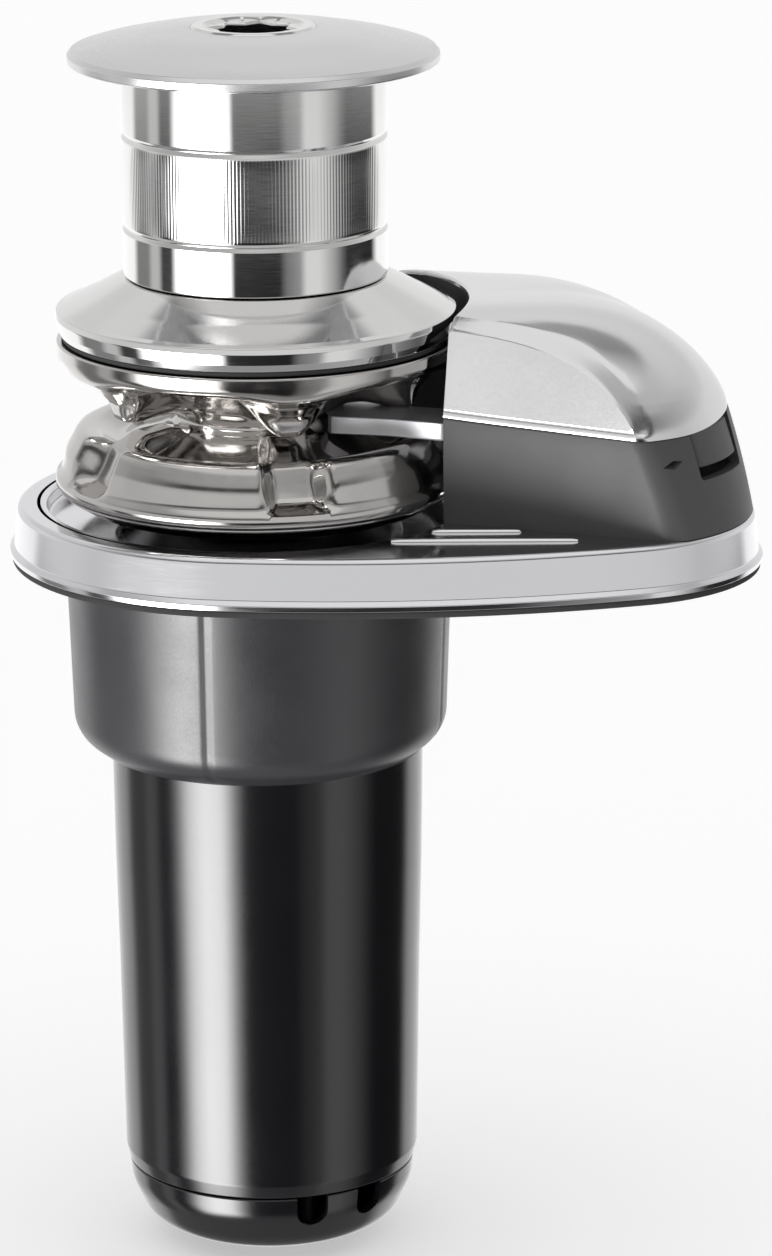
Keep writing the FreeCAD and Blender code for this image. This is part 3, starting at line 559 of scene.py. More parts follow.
@dataclass(frozen=True)
class Plan:
    """Plan of the base: a round end about the shaft, two side arcs and a nose arc, all tangent.

    A point is found from the direction its outward normal points in, because each arc is a circle.
    """

    round_end: float = 71.5
    nose: float = 50.0
    nose_x: float = 95.0
    well: float = 60.5
    face_point: tuple[float, float] = (56.0, -22.3)
    face_angle: float = -12.5
    end_x: float = 30.0
    latch_turn: float = -21.0

    @property
    def side(self) -> float:
        """Radius of the side arcs, tangent to both ends."""
        return (self.nose_x ** 2 + self.round_end ** 2 - self.nose ** 2) / (2 * (self.round_end - self.nose))

    def at(self, turn: Array, inset: Array | float = 0.0) -> Array:
        """Points of the outline.

        Args:
            turn: Direction of the outward normal, in radians between −π and π.
            inset: Distance moved inward.

        Returns:
            Plan points, one row for each turn.
        """
        drop = self.side - self.round_end
        limit = math.atan2(drop, self.nose_x)
        on_nose, on_side = np.abs(turn) <= limit, np.abs(turn) < np.pi / 2
        centre_x = np.where(on_nose, self.nose_x, 0.0)
        centre_y = np.where(on_nose, 0.0, np.where(on_side, -np.sign(turn) * drop, 0.0))
        radius = np.where(on_nose, self.nose, np.where(on_side, self.side, self.round_end)) - inset
        return np.stack((centre_x + radius * np.cos(turn), centre_y + radius * np.sin(turn)), axis=-1)

    def turns(self) -> Array:
        """Normal directions at about even distances all round the outline."""
        limit = math.atan2(self.side - self.round_end, self.nose_x)
        nose = np.linspace(-limit, limit, 56, endpoint=False)
        side = np.linspace(limit, np.pi / 2, 46, endpoint=False)
        end = np.linspace(np.pi / 2, 3 * np.pi / 2, 100, endpoint=False)
        other = np.linspace(-np.pi / 2, -limit, 46, endpoint=False)
        turn = np.concatenate((nose, side, end, other))
        return (turn + np.pi) % (2 * np.pi) - np.pi

    def face_normal(self) -> Array:
        """Outward unit normal of the flat face beside the chain."""
        angle = math.radians(self.face_angle - 90.0)
        return np.array([math.cos(angle), math.sin(angle)])

    def beside_chain(self, inset: float, inward: float, corner: float, counts: tuple[int, int, int]) -> Array:
        """Open plan path of the hawse walls: from the rear end round the nose, an arc, the flat face.

        The arc's centre is where the outline moved in by inset + corner meets the face moved in by
        inward + corner. The face ends on the well's circle.

        Args:
            inset: Distance of the outline part inside the base outline.
            inward: Distance of the face part behind the flat face.
            corner: Radius of the arc.
            counts: Points on the outline, the arc and the face.

        Returns:
            The plan points.
        """
        normal = self.face_normal()
        start = self.turn_at_end(inset)
        turns = np.linspace(0.0, -1.5, 3001)
        beyond = (self.at(turns, inset + corner) - self.face_point) @ normal + inward + corner
        last = float(np.interp(0.0, beyond, turns))
        heart = self.at(np.array([last]), inset + corner)[0]
        face_turn = math.radians(self.face_angle - 90.0)
        outline = self.at(np.linspace(start, last, counts[0], endpoint=False), inset)
        arc_turns = np.linspace(last, face_turn, counts[1], endpoint=False)
        arc = heart + corner * np.column_stack((np.cos(arc_turns), np.sin(arc_turns)))
        first = heart + corner * normal
        along = np.array([normal[1], -normal[0]])
        reach = -first @ along - math.sqrt((first @ along) ** 2 - first @ first + self.well ** 2)
        face = first + np.linspace(0.0, reach, counts[2])[:, None] * along
        return np.concatenate((outline, arc, face))

    def turn_at_end(self, inset: float) -> float:
        """Normal direction where the rear of the outline, moved in by inset, crosses the end of the walls."""
        return math.acos(self.end_x / (self.side - inset))

    def at_latch(self, points: Array) -> Array:
        """Points laid out along +x, turned about the nose arc's centre to where the latch is."""
        cos, sin = math.cos(math.radians(self.latch_turn)), math.sin(math.radians(self.latch_turn))
        moved = np.array(points, dtype=float)
        x, y = moved[..., 0] - self.nose_x, moved[..., 1].copy()
        moved[..., 0], moved[..., 1] = self.nose_x + x * cos - y * sin, x * sin + y * cos
        return moved

    def inside(self, points: Array) -> Array:
        """Distance of plan points behind the flat face."""
        return -(points - np.array(self.face_point)) @ self.face_normal()


PLAN = Plan()


# ---------------------------------------------------------------- base

@dataclass
class Base:
    """Polished base plate with its round well, wear ribs and rubber gasket."""

    gasket_top: float = 2.0
    top: float = 16.5
    floor: float = 12.0
    seal: float = 18.05
    bore: float = 13.0
    rib_places: tuple[Corner, ...] = ((37.5, 53.0, -51.0), (49.0, 26.0, -40.5))
    rib_angle: float = 7.5
    rib_half: float = 1.3
    stud_places: tuple[tuple[float, float], ...] = ((-45, -45), (-45, 45), (95, -45), (95, 45))
    fall: tuple[float, float, float, float] = (62.0, 104.0, -7.0, 25.0)

    def ring(self, outer: Array, inner: Array, across: int) -> Array:
        """Rows from a path on the outline to a path on circles, with plane rows between, and back underneath.

        Args:
            outer: Inset and height of the outline rows, from the top flat to the underside.
            inner: Radius and height of the circle rows, from the underside to the top flat.
            across: Rows between the two on each flat.

        Returns:
            A grid of points that closes on itself both ways.
        """
        turn = PLAN.turns()
        edge = [raised(PLAN.at(turn, inset), height) for inset, height in outer]
        facing = np.arctan2(edge[0][:, 1], edge[0][:, 0])
        circle = [about(radius, facing, height) for radius, height in inner]
        shares = np.linspace(0, 1, across + 2)[1:-1]
        below = [edge[-1] + share * (circle[0] - edge[-1]) for share in shares]
        above = [circle[-1] + share * (edge[0] - circle[-1]) for share in shares]
        return np.stack(edge + below + circle + above)

    def rib(self, start: float, length: float, offset: float) -> Array:
        """A raised bar: a circle swept on a line, shrunk as a quarter circle at the ends."""
        along = start + length / 2 - np.cos(np.linspace(0, np.pi, 17)) * length / 2
        reach = np.minimum(1.0, np.minimum(along - start, start + length - along) / self.rib_half)
        size = np.sqrt(np.clip(1 - (1 - reach) ** 2, 0, 1))
        angle = full_turn(16)
        across = offset + self.rib_half * size[:, None] * np.cos(angle)
        height = self.top - 0.3 + self.rib_half * size[:, None] * np.sin(angle)
        turn = math.radians(self.rib_angle)
        level = along[:, None] + 0 * angle
        return np.stack((level * math.cos(turn) - across * math.sin(turn),
                         level * math.sin(turn) + across * math.cos(turn), height), axis=-1)

    def plate(self) -> None:
        """Plate: drafted wall with a flared foot and rounded shoulder, well, shaft bore, ribs, chain fall."""
        outer = rounded([(9.0, self.top, 0), (2.5, self.top, 2.0), (1.3, 4.9, 0.9), (0.0, 3.7, 0.5),
                         (0.25, self.gasket_top, 0.3), (9.0, self.gasket_top, 0)], closed=False)
        inner = rounded([(30, self.gasket_top, 0), (self.bore, self.gasket_top, 0.3), (self.bore, 4.0, 0.2),
                         (self.seal, 4.0, 0.2), (self.seal, self.floor, 0.4), (PLAN.well, self.floor, 1.2),
                         (PLAN.well, self.top, 1.0), (63.5, self.top, 0)], closed=False)
        body = Solid("base_plate_polished").grid(self.ring(outer, inner, 4)).build()
        cut(body, self.openings(8.0, 3.4))
        ribs = Solid("base_wear_ribs")
        for place_of_rib in self.rib_places:
            ribs.grid(self.rib(*place_of_rib), round_rows=False)
        place(body, "deck_unit", "mirror_stainless", RIM_STEEL, "base_plate")
        place(ribs.build(), "deck_unit", "mirror_stainless", POLISHED)

    def openings(self, height: float, stud: float) -> bpy.types.Object:
        """Cutter for the chain fall, through everything, and for the stud holes up to a height."""
        left, right, front, back = self.fall
        hole = rounded([(left, front, 5), (right, front, 5), (right, back, 5), (left, back, 5)])
        cutter = Solid("openings").grid(slab(hole, [(0.0, -5.0), (0.0, 25.0)]), round_rows=False)
        for spot in self.stud_places:
            path = np.array([(stud, -5.0), (stud, self.gasket_top + height)])
            cutter.grid(turned(path, 32, spot), round_rows=False)
        return cutter.build(weighted=False)

    def gasket(self) -> None:
        """Thin rubber gasket with a soft outer edge."""
        outer = rounded([(9.0, self.gasket_top, 0), (0.7, self.gasket_top, 0.6),
                         (0.7, 0.0, 0.6), (9.0, 0.0, 0)],
                        closed=False)
        inner = rounded([(58.5, 0.0, 0), (56.3, 0.0, 0.4), (56.3, self.gasket_top, 0.4),
                         (58.5, self.gasket_top, 0)], closed=False)
        body = Solid("base_gasket_rubber").grid(self.ring(outer, inner, 1)).build()
        cut(body, self.openings(8.0, 4.4))
        place(body, "deck_unit", "rubber", RUBBER, "base_gasket")

    def build(self) -> None:
        """Builds the base."""
        self.plate()
        self.gasket()


# ---------------------------------------------------------------- hawse body, latch and cover

@dataclass
class Hawse:
    """Black moulding round the chain fall, its latch, and the stripper that lifts the chain off the gypsy."""

    bottom: float = 16.5
    top: float = 44.0
    seam_rise: float = 2.4
    seam_far_rise: float = 3.0
    foot_inset: float = 3.0
    top_inset: float = 10.7
    wall: float = 3.0
    corner: float = 9.0
    counts: tuple[int, int, int] = (90, 16, 22)
    latch_half: float = 11.7
    latch_z: tuple[float, float] = (35.0, 45.0)
    notch_z: float = 37.5
    notch_turn: float = -49.5
    pin: tuple[float, float] = (130.0, 36.0)

    def inset(self, share: Array) -> Array:
        """Inset of the wall at a share of its height, a little bowed."""
        return self.foot_inset + (self.top_inset - self.foot_inset) * (share - 0.25 * share * (1 - share))

    def seam(self, plan: Array) -> Array:
        """Height of the joint with the cover, rising towards the shaft and the side away from the chain."""
        back = self.seam_rise * np.clip((114.6 - plan[..., 0]) / 58.6, 0.0, 1.4)
        return self.top + back + self.seam_far_rise * smooth(plan[..., 1], -28.0, 8.0)

    def body(self) -> None:
        """Wall: outer skin, rolled upper edge and inner skin over the plan path, window and notch cut."""
        steps = np.linspace(0, 1, 9)
        rows = [(share, 0.0) for share in steps[:-1]] + [(0.985, 0.0), (1.0, 0.25), (1.0, self.wall - 0.4)]
        rows += [(share, self.wall) for share in steps[-2::-1]]
        grid = []
        for share, depth in rows:
            corner = self.corner - 0.8 * depth
            flat = PLAN.beside_chain(float(self.inset(share)) + depth, depth, corner, self.counts)
            height = self.bottom + share * (self.seam(flat) - self.bottom)
            grid.append(raised(flat, height))
        wall = Solid("hawse_body_moulded").grid(np.stack(grid), round_columns=False)
        wall.grid(self.pillar(), round_rows=False)
        for near, far in ((12.6, 16.6), (-16.6, -12.6)):
            ear = rounded([(127.5, near, 0.6), (132.5, near, 0.6), (132.5, far, 0.6), (127.5, far, 0.6)])
            solid = slab(ear, [(0.4, 33.5), (0.0, 33.9), (0.0, 38.1), (0.4, 38.5)])
            wall.grid(PLAN.at_latch(solid), round_rows=False)
        shape = wall.build(sharp=35)
        window = PLAN.at_latch(np.array([[138.0, 0.0, 41.0], [139.0, 0.0, 41.0]]))
        cut(shape, slot_cutter("window", window[0], window[1] - window[0], 9.5, 12.1, 12.0, 1.2), 35)
        cut(shape, self.notch(), 35)
        place(shape, "deck_unit", "black_moulding", MOULDING, "hawse_body")

    def pillar(self) -> Array:
        """Post that carries the stripper: a round-cornered block."""
        post = rounded([(62.5, -19.5, 1.5), (75, -22.2, 1.5), (75, -9.5, 1.5), (62.5, -9.5, 1.5)])
        return slab(post, [(0.4, self.bottom - 0.5), (0.0, self.bottom + 0.3), (0.0, 39.5), (0.5, 39.85)])

    def notch(self) -> bpy.types.Object:
        """Small almond-shaped finger notch beside the corner of the nose."""
        turn = np.array([math.radians(self.notch_turn)])
        spot = PLAN.at(turn, 9.2)[0]
        outward = np.array([math.cos(turn[0]), math.sin(turn[0])])
        sideways = np.array([-outward[1], outward[0]])
        tips = rounded([(-4.4, -0.9, 0.1), (0.0, -1.7, 2.5), (4.4, 0.5, 0.1), (0.0, 1.1, 2.5)])
        rows = [np.column_stack((spot + size * tips[:, :1] * sideways + reach * outward,
                                 self.notch_z + size * tips[:, 1]))
                for size, reach in ((0.15, -2.4), (1.15, 2.0))]
        return Solid("notch").grid(np.stack(rows), round_rows=False).build(weighted=False)

    def latch(self) -> None:
        """Thumb tab that follows the nose, hollowed a little across its face, with its hinge eye behind."""
        low, high = self.latch_z
        section = rounded([(0.0, low, 0.7), (0.0, high, 0.7), (2.6, high, 0.5), (2.6, low, 0.5)])
        depth, height = section[:, :1], section[:, 1:]
        across = np.linspace(-self.latch_half, self.latch_half, 33)
        share = (height - self.bottom) / (self.top - self.bottom)
        radius = PLAN.nose - self.inset(share) - depth
        edge = 0.9 * smooth(np.abs(across), self.latch_half - 1.0, self.latch_half)
        scoop = np.where(depth < 0.5, 0.5 * np.sin(np.pi * np.clip((height - low) / (high - low), 0, 1)), 0.0)
        x = PLAN.nose_x + np.sqrt(radius ** 2 - across ** 2) - np.where(depth < 1.3, edge, 0.0) - scoop + 0.2
        tab = PLAN.at_latch(np.stack((x, across + 0 * x, height + 0 * x), axis=-1))
        pin_x, pin_z = self.pin
        eye = rounded([(pin_x + 4.4, pin_z - 0.9, 0.2), (pin_x + 4.4, pin_z + 2.0, 0.2),
                       (pin_x + 1.5, pin_z + 2.4, 2.0),
                       (pin_x - 2.4, pin_z + 2.4, 2.3), (pin_x - 2.4, pin_z - 2.4, 2.3),
                       (pin_x + 1.5, pin_z - 2.4, 2.0)])
        arm = np.stack([np.column_stack((eye[:, 0], np.full(len(eye), y), eye[:, 1]))
                        for y in (-11.5, 11.5)], axis=1)
        solid = Solid("cover_latch_tab").grid(tab, round_columns=False)
        solid.grid(PLAN.at_latch(arm), round_columns=False)
        place(solid.build(), "latch", "black_moulding", MOULDING, "cover_latch")

    def stripper(self) -> None:
        """Flat polished tongue with softened edges that reaches round the gypsy's waist."""
        waist = 24.7
        turns = np.radians(np.linspace(-28.0, 2.0, 16))
        horn = [(waist * math.cos(t), waist * math.sin(t), 0.0) for t in turns[::-1]]
        tongue = rounded(horn + [(23.6, -15.6, 0.5), (40.0, -16.6, 30.0), (55.4, -20.9, 0.6),
                                 (60.6, -19.4, 0.5),
                                 (73.5, -21.6, 1.0), (73.5, -9.4, 1.5), (60.0, -5.0, 6.0), (30.0, 1.6, 6.0)])
        levels = [(0.5, 39.9), (0.12, 40.05), (0.0, 40.4), (0.0, 44.4), (0.12, 44.75), (0.5, 44.9)]
        blade = slab(spread(tongue, 140)[::-1][:-1], levels)
        shape = Solid("chain_stripper_tongue").grid(blade, round_rows=False)
        place(shape.build(), "deck_unit", "satin_stainless", BRIGHT, "chain_stripper")

    def build(self) -> None:
        """Builds the moulding and what it carries."""
        self.body()
        self.latch()
        self.stripper()


@dataclass
class Cover:
    """Domed stainless cover: a flat bevelled face beside the chain and a round cut-out beside the gypsy."""

    hawse: Hawse
    gap: float = 0.25
    rise: float = 31.2
    heart: tuple[float, float] = (48.0, 8.0)
    middle: tuple[float, float] = (88.0, 8.0)
    bevel: float = 3.0
    bevel_drop: float = 2.9
    lean: float = 0.15
    thickness: float = 2.2
    edge: float = 0.9
    corner: float = 6.0
    counts: tuple[int, int, int] = (150, 14, 60)

    def gauge(self, points: Array) -> Array:
        """Scale of the cover's outline about its heart that passes through each point.

        The outline's distance from the heart is tabulated by direction and read by interpolation.
        """
        turn = np.sort(PLAN.turns())
        rim = PLAN.at(turn, self.hawse.top_inset) - np.array(self.heart)
        angle, reach = np.arctan2(rim[:, 1], rim[:, 0]), np.hypot(rim[:, 0], rim[:, 1])
        order = np.argsort(angle)
        away = points - np.array(self.heart)
        facing = np.arctan2(away[..., 1], away[..., 0])
        outline = np.interp(facing, angle[order], reach[order], period=2 * np.pi)
        return np.hypot(away[..., 0], away[..., 1]) / outline

    def height(self, points: Array) -> Array:
        """Height of the skin: a super-ellipse of the gauge, less bevels at the flat face and the cut-out."""
        scale = np.clip(self.gauge(points), 0.0, 1.0)
        away = points - np.array(self.heart)
        facing = np.degrees(np.arctan2(away[..., 1], away[..., 0]))
        rear = smooth(facing, 8.0, 55.0)
        power = 3.9 - 0.7 * smooth(facing, -10.0, -60.0) + 6.5 * rear
        base = self.hawse.seam(points) + self.gap
        crest = self.hawse.top + self.gap + self.rise + 2.0 * smooth(points[..., 0], 45.0, 100.0)
        dome = (crest - base) * (1 - scale ** power) ** (0.75 - 0.2 * rear)
        behind = PLAN.inside(points) - self.lean * dome
        bevel = self.bevel_drop * np.clip(1 - behind / self.bevel, 0.0, 1.0)
        lip = 0.5 * np.clip(1 - (np.hypot(points[..., 0], points[..., 1]) - PLAN.well) / 0.8, 0.0, 1.0) ** 2
        return base + np.maximum(dome - bevel * smooth(dome, 0.5, 5.0) - lip, 0.0)

    def boundary(self) -> tuple[Array, Array, Array, Array]:
        """Closed plan outline, counted from the rear end round the nose to the cut-out.

        The flat face leans back, so its upper edge is pushed in by the lean times its height, and slides
        along the face by a share that keeps its last corner on the cut-out's circle.

        Returns:
            The foot of the wall, its upper edge, how much each point belongs to the flat face, and how much
            each belongs to the cut-out.
        """
        rounds, bend, plane = self.counts
        walled, cut_out, join = rounds + bend + plane, 90, 8
        walls = PLAN.beside_chain(self.hawse.top_inset, 0.0, self.corner, self.counts)
        flat = np.concatenate((np.zeros(rounds), np.linspace(0, 1, bend), np.ones(plane),
                               np.zeros(cut_out + join)))
        foot = self.hawse.seam(walls) + self.gap
        push = self.lean * flat[:walled] * (self.height(walls) - foot)
        along = walls[-1] - walls[rounds + bend]
        along /= np.linalg.norm(along)
        edge = walls - push[:, None] * PLAN.face_normal()
        ahead = float(edge[-1] @ along)
        slide = -ahead - math.sqrt(ahead ** 2 - float(edge[-1] @ edge[-1]) + PLAN.well ** 2)
        edge = edge + (slide * push / push[-1] * np.linspace(0, 1, walled) ** 2)[:, None] * along
        start, end = math.atan2(*edge[-1][::-1]), math.acos(PLAN.end_x / PLAN.well)
        turns = np.linspace(start + 0.004, end, cut_out)
        arc = PLAN.well * np.column_stack((np.cos(turns), np.sin(turns)))
        last = np.linspace(arc[-1], walls[0], join + 2)[1:-1]
        open_arc = np.concatenate((np.zeros(walled), np.ones(cut_out), np.zeros(join)))
        return np.concatenate((walls, arc, last)), np.concatenate((edge, arc, last)), flat, open_arc

    def shell(self) -> None:
        """Cover: skin over the scaled outline, wall down to the seam, and inner skin back to the middle."""
        rim, edge, flat, open_arc = self.boundary()
        middle = np.array(self.middle)
        near = np.array([0, 0.0006, 0.002, 0.005, 0.01, 0.018, 0.03, 0.045, 0.06, 0.078, 0.0822, 0.09, 0.11])
        share = np.concatenate((np.linspace(0, 0.87, 24), 1 - near[::-1]))
        skin = middle + share[:, None, None] * (edge - middle)
        height = self.height(skin)
        top = raised(skin, height)
        foot = self.hawse.seam(rim) + self.gap
        tall = height[-1] - foot
        bottom = np.where(open_arc > 0, height[-1] - self.edge, foot)
        rows = []
        for up, out in ((2.5, 0.0), (2.2, -0.08), (1.9, 0.1), (1.6, 0.28), (0.4, 0.3), (0.0, 0.1)):
            level = np.minimum(bottom + up, height[-1])
            risen = np.where(flat > 0, np.clip((level - foot) / np.maximum(tall, 0.1), 0, 1), 1.0)
            plan = rim + risen[:, None] * (edge - rim) + (out * flat)[:, None] * PLAN.face_normal()
            rows.append(raised(plan, level))
        inner_share = 1 - self.thickness / float(PLAN.inside(middle))
        under = middle + (inner_share * share[::-1])[:, None, None] * (edge - middle)
        radius = np.hypot(under[..., 0], under[..., 1])
        thin = self.edge + (self.thickness - self.edge) * smooth(radius, 63.0, 70.0)
        under_height = np.maximum(self.height(under) - thin, self.hawse.seam(under) + self.gap)
        inner_bottom = np.where(open_arc > 0, under_height[0] - 0.02, bottom)
        rows.append(raised(middle + inner_share * (rim - middle), inner_bottom))
        grid = np.concatenate((top, np.stack(rows), raised(under, under_height)))
        shape = Solid("chain_cover_shell").grid(grid, round_rows=False).build(sharp=32)
        place(shape, "cover", "satin_stainless", COVER_STEEL, "chain_cover")

    def shade_strip(self) -> None:
        """Black strip under the edge of the cut-out: painted shade for the dark gap behind the cut-out's
        edge.
        """
        turns = np.linspace(math.radians(-17.8), math.radians(60.0), 80)
        section = [(0.15, 0.0), (0.0, -0.3), (0.0, -8.0), (2.2, -8.0), (2.2, 0.0)]
        rows = []
        for out, down in section:
            radius = PLAN.well + 0.1 + out
            flat = radius * np.column_stack((np.cos(turns), np.sin(turns)))
            under = self.height((PLAN.well + 0.8) * flat / radius) - self.edge - 0.05
            rows.append(raised(flat, under + down))
        # The black strip is painted shade for the dark gap behind the cut-out's edge, not a part of the
        # cover.
        shape = Solid("cover_shade_strip").grid(np.stack(rows), round_columns=False).build(sharp=30)
        place(shape, "cover", "rubber", SHADE_BLACK)

    def build(self) -> None:
        """Builds the cover and the black strip of painted shade under its cut-out."""
        self.shell()
        self.shade_strip()


# ---------------------------------------------------------------- on the shaft

@dataclass
class Gypsy:
    """Chain wheel: two flanges with five link pockets each, joined by a thin waist."""

    pockets: int = 5
    tooth_at: float = -69.5
    columns: int = 400
    points_each: int = 34

    lobe: tuple[Corner, ...] = ((57.9, 22.7, 0), (57.9, 25.2, 0.8), (56.2, 26.4, 1.2), (54.8, 32.5, 3.5),
                                (51.2, 38.8, 3.0), (46.0, 38.4, 2.0), (39.5, 34.8, 3.0), (31.0, 37.6, 3.0),
                                (24.2, 40.2, 1.0), (23.6, 41.5, 0))
    valley: tuple[Corner, ...] = ((57.9, 22.7, 0), (57.9, 25.4, 0.8), (53.5, 26.0, 1.2), (50.2, 27.0, 1.0),
                                  (48.0, 30.5, 1.5), (45.0, 36.5, 2.0), (38.5, 40.8, 3.0), (30.0, 41.8, 2.0),
                                  (24.2, 40.6, 1.0), (23.6, 41.5, 0))
    tooth: tuple[Corner, ...] = ((23.6, 43.5, 0), (24.4, 45.2, 1.0), (31.0, 45.8, 2.0), (40.0, 44.2, 2.0),
                                 (44.8, 44.8, 1.6), (46.4, 50.0, 2.0), (50.5, 54.4, 2.0), (56.0, 57.2, 1.5),
                                 (57.0, 60.4, 0.6), (57.0, 61.6, 0))
    pocket: tuple[Corner, ...] = ((23.6, 43.5, 0), (25.6, 46.6, 1.0), (32.0, 51.2, 3.0), (38.0, 54.8, 3.0),
                                  (44.0, 57.0, 2.0), (50.0, 57.8, 2.0), (55.0, 58.4, 1.2), (56.2, 59.6, 0.6),
                                  (57.0, 60.4, 0.6), (57.0, 61.6, 0))

    def near(self, angle: Array, centre: float) -> Array:
        """Distance in degrees to the nearest of the repeated places, the first at centre."""
        pitch = 360.0 / self.pockets
        return np.abs((np.degrees(angle) - centre + pitch / 2) % pitch - pitch / 2)

    def between(self, first: Sequence[Corner], second: Sequence[Corner], weight: Array) -> Array:
        """Profiles blended round the wheel: each point moves from the first to the second by weight."""
        start = spread(rounded(first, closed=False), self.points_each)[:, None]
        end = spread(rounded(second, closed=False), self.points_each)[:, None]
        return start + (end - start) * weight[None, :, None]

    def build(self) -> None:
        """Wheel: closed profile of bore, underside, lower lobes, waist, upper teeth, rim and upper recess."""
        angle = full_turn(self.columns)
        from_valley = self.near(angle, self.tooth_at)
        lower = self.between(self.valley, self.lobe, smooth(from_valley, 5.5, 12.0))
        upper = self.between(self.tooth, self.pocket, smooth(from_valley, 3.0, 24.0) ** 0.8)
        waist = rounded([(23.6, 41.5, 0), (23.2, 42.5, 0), (23.6, 43.5, 0)], closed=False)[1:2]
        rim = rounded([(57.0, 61.6, 0), (57.0, 64.4, 0.6), (44.0, 64.4, 0.5), (41.0, 64.4, 0),
                       (16.0, 48.0, 0.5), (14.05, 48.0, 0), (14.05, 37.0, 0), (16.0, 37.0, 0.5),
                       (41.0, 22.75, 0), (41.0, 17.0, 0.5),
                       (50.5, 17.0, 3.0), (56.6, 20.6, 2.5), (57.9, 22.7, 0)], closed=False)[1:-1]
        whole = np.concatenate((lower, np.repeat(waist[:, None], len(angle), axis=1), upper,
                                np.repeat(rim[:, None], len(angle), axis=1)))
        shape = Solid("gypsy_wheel").grid(about(whole[..., 0], angle, whole[..., 1])).build(sharp=50)
        place(shape, "chain_wheel", "mirror_stainless", POLISHED_CAST, "gypsy")


